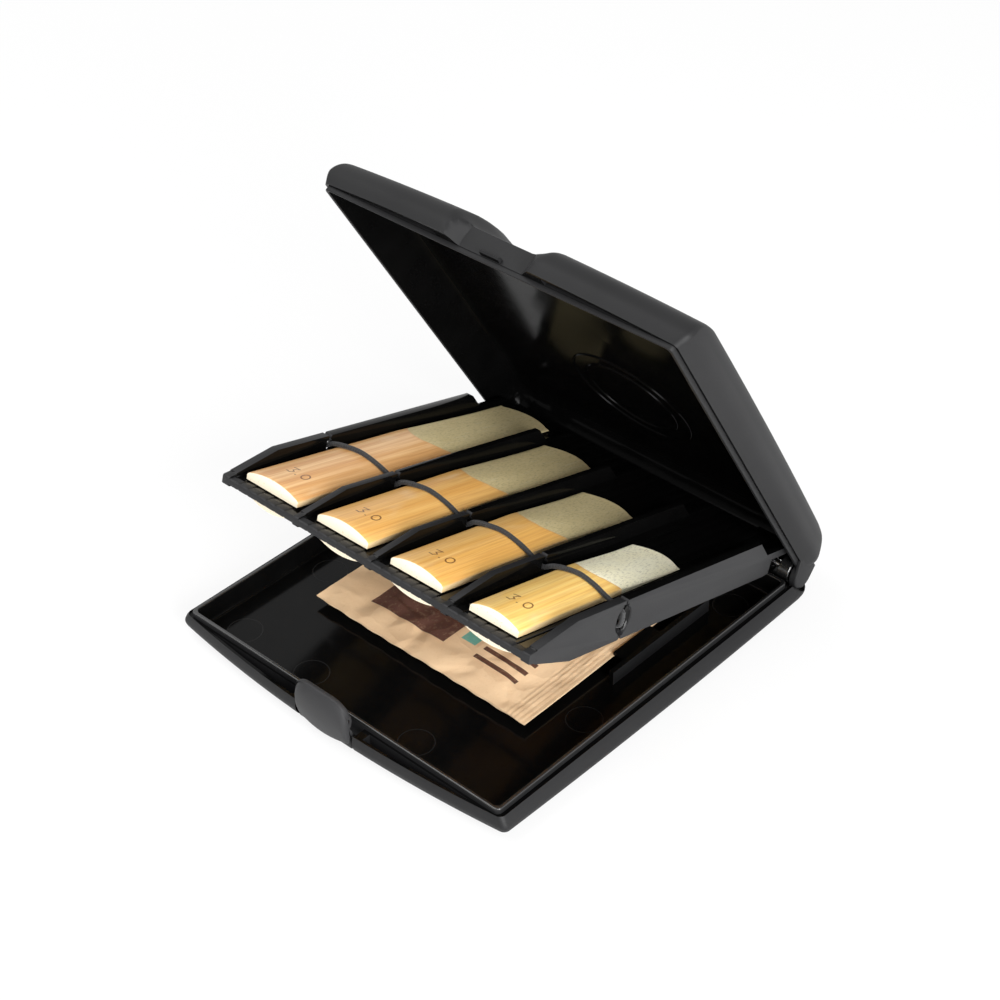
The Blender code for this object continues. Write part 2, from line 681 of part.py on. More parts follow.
def comb_line(rib, groove, wall):
    """Half of a cross-section from left to right: walls, ribs and V grooves."""
    line = []
    for number in range(SLOTS + 1):
        centre = -SLOTS_HALF + number * SLOT_PITCH
        left = centre - DIVIDER / 2
        right = centre + DIVIDER / 2
        if number == 0:
            left = right - OUTER_WALL
        if number == SLOTS:
            right = left + OUTER_WALL
        if number > 0:
            line.append((left, rib))
        line += [(left, wall), (right, wall)]
        if number < SLOTS:
            line.append((right, rib))
            slot_centre = centre + SLOT_PITCH / 2
            for gap in range(RIBS - 1):
                groove_x = slot_centre + (gap - (RIBS - 2) / 2) * RIB_PITCH
                line += [(groove_x - GROOVE_WIDTH / 2, rib), (groove_x, rib - groove),
                         (groove_x + GROOVE_WIDTH / 2, rib)]
    return line


def make_tray():
    low_wall = PLATE_HALF + WALL_LAND
    tip = WALL_TIP_HALF
    lip = LIP_HALF
    groove = GROOVE_DEPTH
    lip_rear = TRAY_FRONT - LIP_DEPTH
    plate = PLATE_HALF
    slope = WALL_HALF - low_wall
    lip_top = tip + EDGE_ROUND
    lip_foot = lip_top + EDGE_ROUND
    thin_wall = low_wall - EDGE_ROUND
    stations = (
        (TRAY_FRONT, lip - EDGE_ROUND, groove / 2, tip - EDGE_ROUND, tip - EDGE_ROUND),
        (TRAY_FRONT - EDGE_ROUND, lip, groove / 2, tip, tip),
        (lip_rear, lip, groove, lip_top, lip_top),
        (lip_rear - EDGE_ROUND, plate, groove, lip_foot, lip_foot),
        (TRAY_FRONT - TRAY_TAPER, plate, groove, WALL_HALF, WALL_HALF),
        (TRAY_WALL_REAR, plate, groove, WALL_HALF, WALL_HALF),
        (TRAY_WALL_REAR - slope, plate, groove, low_wall, WALL_HALF),
        (TRAY_WALL_END + EDGE_ROUND, plate, groove, low_wall, WALL_HALF - EDGE_ROUND),
        (TRAY_WALL_END, plate, groove, low_wall, low_wall),
        (TRAY_REAR + EDGE_ROUND, plate, groove, low_wall, low_wall),
        (TRAY_REAR, plate - EDGE_ROUND, groove / 2, thin_wall, thin_wall),
    )
    rings = [tray_section(*station) for station in stations]
    tray = loft("tray", rings, TRAY_BLACK)
    middle = HINGE_Z + TRAY_MID_RISE
    cut_band_slits(tray, middle)
    for side in (-1, 1):
        low, high = sorted((side * TRAY_KNUCKLE_INNER_X, side * TRAY_KNUCKLE_OUTER_X))
        add(tray, tray_knuckle(low, high))
        bore = PIN_RADIUS + PIN_CLEARANCE
        cut(tray, rod("bore", (HINGE_Y, HINGE_Z), bore, low - CUT, high + CUT))
    add_gussets(tray, middle)
    return smooth(tray)


def keyhole_outline(middle, direction):
    """The hole for the band in a wall: a round-ended slot, seen from the side."""
    y = HINGE_Y - BAND_STATION
    low = SLIT_FLOOR + BAND_RADIUS + BAND_GAP
    radius = BAND_RADIUS + BAND_ROOM
    outline = []
    for rise, start in ((low + KEYHOLE_RISE, 0.0), (low, math.pi)):
        for step in range(SLIT_STEPS + 1):
            angle = start + math.pi * step / SLIT_STEPS
            place = middle + direction * (rise + radius * math.sin(angle))
            outline.append((y + radius * math.cos(angle), place))
    return outline


def cut_band_slits(tray, middle):
    """A keyhole for the band in every wall, and a lens-shaped hollow on each outer side."""
    y = HINGE_Y - BAND_STATION
    reach = TRAY_HALF + CUT
    groove_half = BAND_RADIUS + BAND_ROOM
    hole_top = SLIT_FLOOR + BAND_RADIUS + BAND_GAP + KEYHOLE_RISE
    groove_top = hole_top + groove_half
    for direction in (-1, 1):
        cut(tray, prism("keyhole", keyhole_outline(middle, direction), "x", -reach, reach))
        low, high = sorted((middle + direction * hole_top, middle + direction * (WALL_HALF + CUT)))
        cut(tray, box("slit", (-reach, y - SLIT_WIDTH / 2, low), (reach, y + SLIT_WIDTH / 2, high)))
        top = middle + direction * (WALL_HALF + WELD)
        notch = [(y - NOTCH_WIDTH / 2, top), (y + NOTCH_WIDTH / 2, top),
                 (y, top - direction * (NOTCH_DEPTH + WELD))]
        cut(tray, prism("notch", notch, "x", -reach, reach))
    for side in (-1, 1):
        low, high = sorted((side * (TRAY_HALF - HOLLOW_DEPTH), side * reach))
        cut(tray, box("groove", (low, y - groove_half, middle - groove_top),
                      (high, y + groove_half, middle + groove_top)))
        lens = bmesh.new()
        bmesh.ops.create_uvsphere(lens, u_segments=LENS_STEPS, v_segments=LENS_STEPS // 2, radius=1)
        size = (HOLLOW_DEPTH, HOLLOW_LENGTH / 2, HOLLOW_HEIGHT / 2, 1)
        place = Matrix.Translation((side * TRAY_HALF, y, middle)) @ Matrix.Diagonal(size)
        bmesh.ops.transform(lens, matrix=place, verts=lens.verts)
        cut(tray, object_from(lens, "lens"))


def tray_knuckle(start, end):
    """A round knuckle on the hinge line with an arm that rises to the rear of the plate."""
    knuckle = rod("knuckle", (HINGE_Y, HINGE_Z), TRAY_KNUCKLE_RADIUS, start, end)
    front = HINGE_Y - TRAY_KNUCKLE_RADIUS
    lap = front - TRAY_ARM_LAP
    middle = HINGE_Z + TRAY_MID_RISE
    top = middle + PLATE_HALF - WELD
    arm = [(front, HINGE_Z), (HINGE_Y + TRAY_ARM_REACH, HINGE_Z + TRAY_KNUCKLE_RADIUS / 2),
           (HINGE_Y - TRAY_REAR / 2, top), (lap, top), (lap, middle - PLATE_HALF - WELD)]
    return add(knuckle, prism("arm", arm, "x", start + WELD, end - WELD))


def add_gussets(tray, middle):
    """Small three-cornered webs at the left front of every slot, above and below."""
    front = HINGE_Y - TRAY_FRONT + LIP_DEPTH - WELD
    for number in range(SLOTS):
        left = -SLOTS_HALF + number * SLOT_PITCH + DIVIDER / 2 - WELD
        outline = [(left, front), (left + GUSSET_WIDTH, front), (left, front + GUSSET_LENGTH)]
        for direction in (-1, 1):
            inner = middle + direction * (PLATE_HALF - WELD)
            outer = middle + direction * WALL_TIP_HALF
            low, high = sorted((inner, outer))
            add(tray, prism("gusset", outline, "z", low, high))


def make_latch():
    """The front tab: a curved plate with a barrel at its foot and a hook for the nub."""
    outer = SKIN_FRONT - LATCH_PROUD
    inner = outer + LATCH_THICKNESS
    low = PIVOT_Z - LATCH_BARREL_RADIUS
    top = low + LATCH_HEIGHT
    hook_z = PIVOT_Z + HOOK_RISE
    lean = LATCH_THICKNESS / 4
    outline = [(PIVOT_Y, low), (SKIN_FRONT + lean, low - WELD)]
    for out_share, up_share in LATCH_FACE_SHARES:
        outline.append((outer + out_share * LATCH_PROUD, low + up_share * LATCH_HEIGHT))
    outline += [(inner - lean, top), (inner + lean, top - LATCH_CROWN_DROP)]
    for reach_share, rise_share in HOOK_SHARES:
        outline.append((inner + reach_share * HOOK_REACH, hook_z + rise_share * HOOK_HEIGHT))
    outline += [(inner, PIVOT_Z + LATCH_FOOT_RISE), (PIVOT_Y, PIVOT_Z + LATCH_BARREL_RADIUS)]
    for step in range(1, CORNER_STEPS * 2):
        angle = math.pi / 2 - math.pi * step / (CORNER_STEPS * 2)
        outline.append((PIVOT_Y + LATCH_BARREL_RADIUS * math.cos(angle),
                        PIVOT_Z + LATCH_BARREL_RADIUS * math.sin(angle)))
    latch = prism("latch", outline, "x", -LATCH_HALF, LATCH_HALF, LATCH_BLACK)
    face = rounded_top(LATCH_HALF, low - CUT, top + WELD, LATCH_CORNER)
    combine(latch, prism("face", face, "y", outer - CUT, CAVITY_FRONT + CUT), "INTERSECT")
    cut(latch, rod("bore", (PIVOT_Y, PIVOT_Z), LATCH_PIN_RADIUS + PIN_CLEARANCE,
                   -LATCH_HALF - CUT, LATCH_HALF + CUT))
    return smooth(latch)


def rounded_top(half, low, high, radius):
    outline = [(-half - WELD, low), (half + WELD, low), (half + WELD, high - radius)]
    for centre, start in ((half - radius, 0.0), (-half + radius, math.pi / 2)):
        for step in range(CORNER_STEPS + 1):
            angle = start + math.pi / 2 * step / CORNER_STEPS
            rise = radius * math.sin(angle)
            outline.append((centre + radius * math.cos(angle), high - radius + rise))
    outline.append((-half - WELD, high - radius))
    return outline


def make_pins():
    pins = []
    inner = TRAY_KNUCKLE_INNER_X + HINGE_GAP
    outer = LID_WIDTH / 2 + EAR_BORE_DEPTH - PIN_CLEARANCE
    for side, name in ((-1, "hinge_pin_left"), (1, "hinge_pin_right")):
        low, high = sorted((side * inner, side * outer))
        pins.append(smooth(rod(name, (HINGE_Y, HINGE_Z), PIN_RADIUS, low, high, STEEL)))
    reach = LATCH_HALF + LATCH_SIDE_GAP + LATCH_WEB - WELD
    pivot = (PIVOT_Y, PIVOT_Z)
    pins.append(smooth(rod("latch_pin", pivot, LATCH_PIN_RADIUS, -reach, reach, STEEL)))
    return pins


def reed_rings(butt_width, tip_width, length, bark):
    """Cross-sections from the butt to the rounded tip: flat below, arched above."""
    stations = []
    for share in BARK_SHARES:
        stations.append((bark * share, REED_HEIGHT, REED_EDGE))
    for share in VAMP_SHARES:
        place = bark + (length - REED_TIP_CROWN - bark) * share
        left = (1 - share) ** VAMP_POWER
        stations.append((place, REED_TIP + (REED_HEIGHT - REED_TIP) * left,
                         REED_TIP + (REED_EDGE - REED_TIP) * left))
    rings = []
    body = length - REED_TIP_CROWN
    for place, height, edge in stations:
        half = (butt_width + (tip_width - butt_width) * place / length) / 2
        rings.append(reed_section(place, half, height, edge, 0.0))
    for share in TIP_SHARES:
        place = body + (REED_TIP_CROWN - REED_TIP) * share
        half = tip_width / 2
        crown = REED_TIP_CROWN * share
        rings.append(reed_section(place, half * math.sqrt(1 - TIP_NARROWING_SHARE * share * share),
                                  REED_TIP, REED_TIP, crown))
    return rings


def reed_section(place, half, height, edge, crown):
    """One ring; the crown pulls its sides back, so that the tip is a flat arc."""
    ring = []
    for step in range(REED_ARC_STEPS + 1):
        across = 1 - 2 * step / REED_ARC_STEPS
        back = crown * across * across
        ring.append((half * across, place - back, edge + (height - edge) * (1 - across * across)))
    under = [(x, y, 0.0) for x, y, _ in reversed(ring)]
    return ring + under


def reed_place(number, sizes, shares):
    """Where the reed in a slot has its butt, and how far its tip leans from there."""
    butt_width, tip_width, _, _ = sizes
    centre = number * SLOT_PITCH + SLOT_PITCH / 2 - SLOTS_HALF
    butt_x, tip_x = [centre + share * (SLOT_WIDTH - width) / 2
                     for share, width in zip(shares, (butt_width, tip_width))]
    return butt_x, tip_x - butt_x


def make_reeds(tray_axis):
    for side, flip, layer in REED_LAYERS:
        for number, (sizes, shares) in enumerate(layer):
            reed = loft(f"reed_{side}_{number + 1}", reed_rings(*sizes), CANE)
            smooth(reed)
            butt_x, lean = reed_place(number, sizes, shares)
            reed.parent = tray_axis
            reed.location = (butt_x, -REED_FRONT, TRAY_MID_RISE + flip * REED_FLAT)
            turn = math.atan2(-lean, sizes[2])
            if flip > 0:
                reed.rotation_euler = (0, 0, turn)
            else:
                reed.rotation_euler = (0, math.pi, turn)


def band_points():
    """The band's closed route around the tray, seen from the front: x and height."""
    top, bottom = [band_side(layer) for _, _, layer in REED_LAYERS]
    return top + [(x, -height) for x, height in reversed(bottom)]


def band_side(layer):
    """The band's route from left to right over the reeds of one side of the tray."""
    side_x = TRAY_HALF - HOLLOW_DEPTH + BAND_RADIUS + BAND_GAP
    notch = SLIT_FLOOR + BAND_RADIUS + BAND_GAP
    over = BAND_RADIUS + BAND_GAP
    route = [(-side_x, notch / 2), (-side_x + BAND_RADIUS, notch)]
    for number, (sizes, shares) in enumerate(layer):
        butt_width, tip_width, length, _ = sizes
        butt_x, lean = reed_place(number, sizes, shares)
        along = (REED_FRONT - BAND_STATION) / length
        centre = butt_x + lean * along
        reed_half = (butt_width + (tip_width - butt_width) * along) / 2
        if number > 0:
            route.append((number * SLOT_PITCH - SLOTS_HALF, notch))
        for share in BAND_SHARES:
            rise = REED_EDGE + (REED_HEIGHT - REED_EDGE) * (1 - min(share * share, 1.0))
            route.append((centre + share * reed_half, REED_FLAT + rise + over))
    return route + [(side_x - BAND_RADIUS, notch), (side_x, notch / 2)]


def make_band(tray_axis):
    """The elastic band as one closed loop through the slits and over the reeds."""
    curve = bpy.data.curves.new("reed_band", "CURVE")
    curve.dimensions = "3D"
    curve.bevel_depth = BAND_RADIUS
    curve.bevel_resolution = 1
    curve.resolution_u = 3
    spline = curve.splines.new("BEZIER")
    points = band_points()
    spline.bezier_points.add(len(points) - 1)
    for point, (x, height) in zip(spline.bezier_points, points):
        point.co = (x, -BAND_STATION, TRAY_MID_RISE + height)
        point.handle_left_type = "AUTO"
        point.handle_right_type = "AUTO"
    spline.use_cyclic_u = True
    curve.materials.append(material(ELASTIC))
    band = bpy.data.objects.new("reed_band", curve)
    bpy.context.scene.collection.objects.link(band)
    band.parent = tray_axis
    return band


def crown(across):
    """How full the packet is at a place from -1 to 1 across it."""
    return 1 - SACHET_SQUARE_SHARE * across ** 4 - (1 - SACHET_SQUARE_SHARE) * abs(across)


def make_sachet():
    """A pillow-shaped paper packet with flat crimped edges."""
    work = bmesh.new()
    cells = SACHET_CELLS
    front = CAVITY_FRONT + SACHET_FRONT
    floor = FLOOR_THICKNESS + SACHET_GAP
    layers = []
    for layer in (0, 1):
        grid = []
        for row in range(cells + 1):
            line = []
            for column in range(cells + 1):
                u = 2 * column / cells - 1
                v = 2 * row / cells - 1
                swell = max(0.0, crown(u) * crown(v))
                crimp = 0.0 if max(abs(u), abs(v)) > SACHET_CRIMP_SHARE else 1.0
                height = layer * (SACHET_EDGE + (SACHET_THICKNESS - SACHET_EDGE) * swell * crimp)
                x = SACHET_CENTRE_X + SACHET_WIDTH * u / 2
                y = front + SACHET_DEPTH * (v + 1) / 2
                line.append(work.verts.new((x, y, floor + height)))
            grid.append(line)
        layers.append(grid)
    for grid in layers:
        for row in range(cells):
            for column in range(cells):
                work.faces.new((grid[row][column], grid[row][column + 1],
                                grid[row + 1][column + 1], grid[row + 1][column]))
    edge = [(0, c) for c in range(cells)] + [(r, cells) for r in range(cells)]
    edge += [(cells, c) for c in range(cells, 0, -1)] + [(r, 0) for r in range(cells, 0, -1)]
    for index, (row, column) in enumerate(edge):
        next_row, next_column = edge[(index + 1) % len(edge)]
        work.faces.new((layers[0][row][column], layers[0][next_row][next_column],
                        layers[1][next_row][next_column], layers[1][row][column]))
    return smooth(object_from(work, "humidity_sachet", KRAFT))


def hinge_empty(name, place, angle):
    empty = bpy.data.objects.new(name, None)
    bpy.context.scene.collection.objects.link(empty)
    empty.location = place
    empty.rotation_euler = (angle, 0, 0)
    return empty


def hang(thing, empty):
    """Give a piece its origin on the hinge line and parent it there."""
    thing.data.transform(Matrix.Translation(-Vector(empty.location)))
    thing.parent = empty


def main():
    clear_scene()
    make_base()
    lid_axis = hinge_empty("lid hinge line", (0, HINGE_Y, HINGE_Z), -LID_OPEN_ANGLE)
    tray_axis = hinge_empty("tray hinge line", (0, HINGE_Y, HINGE_Z), -TRAY_OPEN_ANGLE)
    latch_axis = hinge_empty("latch hinge line", (0, PIVOT_Y, PIVOT_Z), LATCH_OPEN_ANGLE)
    hang(make_lid(), lid_axis)
    hang(make_tray(), tray_axis)
    hang(make_latch(), latch_axis)
    make_pins()
    make_reeds(tray_axis)
    make_band(tray_axis)
    make_sachet()


main()
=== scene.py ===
# %% [markdown]
# # A reed case, dressed for its portrait
#
# The case is a pocket shell of black plastic. Its lid and a two-sided tray turn on one hinge
# line, and the tray carries eight cane reeds under an elastic band. A paper humidity sachet
# lies on the floor of the base. This lesson loads the solid parts as a fixed frame, and then
# gives each of them the shape of its edges and the finish that the real material has.

# %% Load the frame
import json
import math
import random

import bmesh
import bpy
from mathutils import Matrix, Vector


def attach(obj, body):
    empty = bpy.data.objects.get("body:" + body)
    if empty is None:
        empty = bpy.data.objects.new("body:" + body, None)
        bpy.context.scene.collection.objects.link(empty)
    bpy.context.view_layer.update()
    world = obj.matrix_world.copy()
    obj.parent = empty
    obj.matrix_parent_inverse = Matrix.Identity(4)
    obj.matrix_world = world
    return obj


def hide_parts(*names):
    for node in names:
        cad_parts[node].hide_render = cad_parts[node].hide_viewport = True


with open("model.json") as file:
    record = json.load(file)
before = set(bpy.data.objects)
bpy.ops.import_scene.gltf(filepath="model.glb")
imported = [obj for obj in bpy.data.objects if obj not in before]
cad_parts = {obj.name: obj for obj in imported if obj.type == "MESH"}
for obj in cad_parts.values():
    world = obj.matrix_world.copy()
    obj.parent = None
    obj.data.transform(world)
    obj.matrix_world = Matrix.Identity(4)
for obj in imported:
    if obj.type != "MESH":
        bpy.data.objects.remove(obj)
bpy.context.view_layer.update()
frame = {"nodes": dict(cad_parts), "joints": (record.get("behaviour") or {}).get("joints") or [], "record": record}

scene = bpy.context.scene
MM = 0.001
DEGREE = math.pi / 180
LEFT, RIGHT = -1, 1

# %% [markdown]
# The moving bodies stand turned about the hinge line. Patterns and new pieces are easier to
# place in the closed case, where everything is square, so the turns are kept as matrices.
# The hinge line comes from the frame's own joints, and so nothing drifts apart.

# %% The hinge line and the turned frames
joints = {joint["name"]: joint for joint in frame["joints"]}
HINGE = Vector(joints["lid_hinge"]["pos_m"])
PIVOT = Vector(joints["latch_hinge"]["pos_m"])
LID_ANGLE = -joints["lid_hinge"]["range_deg"][0] * DEGREE
TRAY_ANGLE = LID_ANGLE * frame["record"]["behaviour"]["couplings"][0]["ratio"]
LATCH_ANGLE = -joints["latch_hinge"]["range_deg"][0] * DEGREE


def turned(angle, pivot):
    """Takes a place in the closed case to where it stands when turned about a pivot."""
    return Matrix.Translation(pivot) @ Matrix.Rotation(angle, 4, "X") @ Matrix.Translation(-pivot)


LID_TURN = turned(-LID_ANGLE, HINGE)
LATCH_TURN = turned(LATCH_ANGLE, PIVOT)
TRAY_FRAME = Matrix.Translation(HINGE) @ Matrix.Rotation(-TRAY_ANGLE, 4, "X")
print(f"lid open by {LID_ANGLE / DEGREE:.1f} and tray by {TRAY_ANGLE / DEGREE:.1f} degrees")

# %% [markdown]
# The camera stands where the photographer did: in front and to the right, looking down by
# about 37 degrees with a lens of 76 mm. Its three axes are written out from the two angles,
# which is safer than guessing Euler angles.

# %% Camera
CAMERA_AZIMUTH = 42.2 * DEGREE
CAMERA_ELEVATION = 36.97 * DEGREE
CAMERA_PLACE = Vector((241.4, -263.5, 302.7)) * MM
CAMERA_LENS, CAMERA_SENSOR = 76.09, 36.0


def linked(name, data):
    """An object of its own in the scene."""
    made = bpy.data.objects.new(name, data)
    scene.collection.objects.link(made)
    return made


def make_camera():
    data = bpy.data.cameras.new("portrait camera")
    data.lens = CAMERA_LENS
    data.sensor_width = CAMERA_SENSOR
    data.clip_start = MM
    right = Vector((math.cos(CAMERA_AZIMUTH), math.sin(CAMERA_AZIMUTH), 0))
    level = Vector((math.sin(CAMERA_AZIMUTH), -math.cos(CAMERA_AZIMUTH), 0))
    back = level * math.cos(CAMERA_ELEVATION) + Vector((0, 0, math.sin(CAMERA_ELEVATION)))
    turn = Matrix((right, back.cross(right), back)).transposed()
    camera = linked("portrait camera", data)
    camera.matrix_world = Matrix.Translation(CAMERA_PLACE) @ turn.to_4x4()
    scene.camera = camera
    return camera


camera = make_camera()
print("camera at", [round(v, 3) for v in camera.location])

# %% [markdown]
# Shader maths reads best as ordinary sums. A small class wraps a socket, and its operators
# add Math nodes. One method makes any other node from its type, its settings and the values
# or links of its sockets, so a material is a short list of readable lines. The same method
# builds the light of the studio and the weave of the band.

# %% A small language for nodes


class Value:
    """A socket with arithmetic: every operator adds one Math node."""

    def __init__(self, nodes, socket):
        self.nodes = nodes
        self.socket = socket

    def output(self, name):
        """Another output of the node that this value comes from."""
        return Value(self.nodes, self.socket.node.outputs[name])

    def math(self, operation, *others):
        return self.nodes.node("ShaderNodeMath", dict(enumerate((self, *others))),
                               operation=operation)

    def __add__(self, other):
        return self.math("ADD", other)

    def __sub__(self, other):
        return self.math("SUBTRACT", other)

    def __rsub__(self, other):
        return self * -1.0 + other

    def __mul__(self, other):
        return self.math("MULTIPLY", other)

    def __truediv__(self, other):
        return self.math("DIVIDE", other)

    __radd__, __rmul__ = __add__, __mul__

    def absolute(self):
        return self.math("ABSOLUTE")

    def below(self, other):
        return self.math("LESS_THAN", other)

    def above(self, other):
        return self.math("GREATER_THAN", other)

    def smoothly(self, low, high):
        """0 below low, 1 above high, and a soft step between them."""
        span = {"Value": self, "From Min": low, "From Max": high}
        return self.nodes.node("ShaderNodeMapRange", span, interpolation_type="SMOOTHSTEP")


class Nodes:
    """A node tree with one call for any node."""

    def __init__(self, tree):
        self.tree = tree

    def feed(self, socket, value):
        """Link a socket to a value, or set it."""
        if isinstance(value, Value):
            self.tree.links.new(value.socket, socket)
        else:
            socket.default_value = value

    def node(self, kind, inputs=None, output=0, stops=(), **settings):
        """Settings and a ramp's stops come first, then the values or links of the sockets."""
        made = self.tree.nodes.new(kind)
        for name, value in settings.items():
            setattr(made, name, value)
        for number, (place, colour) in enumerate(stops):
            made.color_ramp.elements[number].position = place
            made.color_ramp.elements[number].color = colour
        for name, value in (inputs or {}).items():
            self.feed(made.inputs[name], value)
        return Value(self, made.outputs[output])

    def vector(self, operation, first, second):
        """Vector maths, which keeps all three numbers."""
        inputs = {0: first, "Scale" if operation == "SCALE" else 1: second}
        return self.node("ShaderNodeVectorMath", inputs, operation=operation)


class Paint(Nodes):
    """A material with a Principled shader and short calls for the nodes that feed it."""

    def __init__(self, name, **constants):
        self.material = bpy.data.materials.new(name)
        self.material.use_nodes = True
        super().__init__(self.material.node_tree)
        self.shader = self.tree.nodes["Principled BSDF"]
        self.set(**constants)

    def set(self, **values):
        """Name the shader's sockets with underscores for spaces."""
        for name, value in values.items():
            self.feed(self.shader.inputs[name.replace("_", " ")], value)

    def coat(self, colour, roughness, height, depth, strength):
        """Set what varies over the surface, and give back the material."""
        bump = {"Height": height, "Distance": depth, "Strength": strength}
        self.set(Base_Color=colour, Roughness=roughness, Normal=self.node("ShaderNodeBump", bump))
        return self.material

    def place(self, matrix=None):
        """Object coordinates, or the place measured in a turned frame."""
        here = self.node("ShaderNodeTexCoord", output="Object")
        if matrix is None:
            return here
        back = matrix.inverted()
        return self.node("ShaderNodeMapping", {"Vector": here, "Location": back.to_translation(),
                                               "Rotation": back.to_euler()})

    def split(self, vector):
        parts = self.node("ShaderNodeSeparateXYZ", {0: vector})
        return [parts.output(axis) for axis in "XYZ"]

    def noise(self, vector, scale, detail=3.0, roughness=0.5):
        """Cloudy noise; a scale of three numbers stretches it along the axes."""
        if isinstance(scale, tuple):
            vector, scale = self.vector("MULTIPLY", vector, scale), 1.0
        return self.node("ShaderNodeTexNoise", {"Vector": vector, "Scale": scale, "Detail": detail,
                                                "Roughness": roughness})

    def ramp(self, factor, *stops):
        return self.node("ShaderNodeValToRGB", {0: factor}, stops=stops)

    def mix(self, factor, first, second, blend="MIX"):
        return self.node("ShaderNodeMix", {0: factor, 6: first, 7: second}, 2,
                         data_type="RGBA", blend_type=blend)


def tint(*display):
    """A colour given in 0-255 display values, as the linear value that shaders use."""
    shares = [value / 255 for value in display]
    return (*(share / 12.92 if share <= 0.04045 else ((share + 0.055) / 1.055) ** 2.4
              for share in shares), 1.0)


print("paint kit ready")

# %% [markdown]
# The stage is a white sweep with soft daylight from everywhere, one large lamp high on the
# left, and a strong one low on the right, which brightens the faces that look that way.
# White paper behind a black case is what makes its edges read: matte plastic picks up a wide
# soft sheen, while the polished inside mirrors the dark lid above it and stays black.

# %% Stage and light
WHITE = (1.0, 1.0, 1.0, 1.0)
DAYLIGHT, SEEN_SKY = 0.5, 1.0
FLOOR_HALF = 3.0
FLOOR_DROP = 0.05 * MM
PAPER = (0.93, 0.93, 0.93, 1.0)
PAPER_GLOW = 0.82
CASE_MIDDLE = (0.0, 0.0, 0.03)
LAMPS = (
    ("high soft box", (-0.35, -0.25, 0.85), (0.7, 0.5), 3.8),
    ("right soft box", (0.75, -0.3, 0.3), (0.4, 0.6), 12.5),
)


def make_world():
    """Daylight on the case, and full white for the rays that look past it."""
    scene.world = bpy.data.worlds.new("studio")
    scene.world.use_nodes = True
    scene.world.node_tree.nodes.clear()
    sky = Nodes(scene.world.node_tree)
    path = sky.node("ShaderNodeLightPath")
    seen = path.output("Is Camera Ray")
    for kind in ("Is Glossy Ray", "Is Transmission Ray"):
        seen = seen.math("MAXIMUM", path.output(kind))
    soft, white = (sky.node("ShaderNodeBackground", {"Color": WHITE, "Strength": strength})
                   for strength in (DAYLIGHT, SEEN_SKY))
    blend = sky.node("ShaderNodeMixShader", {0: seen, 1: soft, 2: white})
    sky.feed(sky.tree.nodes.new("ShaderNodeOutputWorld").inputs[0], blend)


def make_floor():
    mesh = bpy.data.meshes.new("studio floor")
    mesh.from_pydata([(x * FLOOR_HALF, y * FLOOR_HALF, -FLOOR_DROP)
                      for x, y in ((-1, -1), (1, -1), (1, 1), (-1, 1))], [], [(0, 1, 2, 3)])
    paint = Paint("White paper sweep", Base_Color=PAPER, Roughness=0.9)
    share = paint.node("ShaderNodeLightPath", output="Is Camera Ray") * PAPER_GLOW
    lit = Value(paint, paint.shader.outputs[0])
    glow = paint.node("ShaderNodeEmission", {"Strength": 1.0})
    blend = paint.node("ShaderNodeMixShader", {0: share, 1: lit, 2: glow})
    paint.feed(paint.tree.nodes["Material Output"].inputs[0], blend)
    mesh.materials.append(paint.material)
    floor = linked("studio floor", mesh)


def make_lamp(name, place, size, power):
    data = bpy.data.lights.new(name, "AREA")
    data.shape = "RECTANGLE"
    data.size, data.size_y = size
    data.energy = power
    lamp = linked(name, data)
    lamp.location = place
    away = Vector(place) - Vector(CASE_MIDDLE)
    lamp.rotation_euler = away.to_track_quat("Z", "Y").to_euler()


make_world()
make_floor()
for lamp in LAMPS:
    make_lamp(*lamp)
scene.view_settings.view_transform = "Standard"
print("stage and lamps in place")

# %% [markdown]
# The two shells are lofts: rows of sizes make rings, and rings make a skin. The solid parts
# use few rings, and here the same tables are filled with smooth rows between them, so that
# the front rolls over like the moulded original. Every ring is a rounded oblong whose sides
# and front swell outward. Its points crowd together in the middle of the front, where the
# thumb scoop and the latch need them.

# %% Rows, rings and lofts
CORNER_STEPS = 8
SPANS = (120, 24, 24, 24)
CROWDING = 1.7
ROUND_STEPS, BARREL_STEPS = 64, 48


def metres(rows):
    """A table written in millimetres."""
    return [tuple(value * MM for value in row) for row in rows]


def clamped(value):
    return min(1.0, max(0.0, value))


def between(before, first, last, after, t):
    """A place on the smooth curve from first to last, at the share t of the way."""
    return tuple(
        b + 0.5 * t * (c - a + t * (2 * a - 5 * b + 4 * c - d + t * (3 * b - a - 3 * c + d)))
        for a, b, c, d in zip(before, first, last, after))


def eased(rows, steps=6):
    """Fill a table with smooth rows between its own rows."""
    padded = [rows[0], *rows, rows[-1]]
    return [between(*padded[index:index + 4], step / steps)
            for index in range(len(rows) - 1) for step in range(steps)] + [rows[-1]]


def closed_curve(points, steps=5):
    """Smooth points through a closed row of points."""
    around = [points[-1], *points, *points[:2]]
    return [between(*around[index:index + 4], step / steps)
            for index in range(len(points)) for step in range(steps)]


def crowded(share):
    """A share from 0 to 1 that moves slowly in the middle."""
    t = 2 * share - 1
    return 0.5 + 0.5 * math.copysign(abs(t) ** CROWDING, t)


def whole_turn(steps):
    return [2 * math.pi * step / steps for step in range(steps)]


def arc(centre, radius, turns):
    return [(centre[0] + radius * math.cos(turn), centre[1] + radius * math.sin(turn))
            for turn in turns]


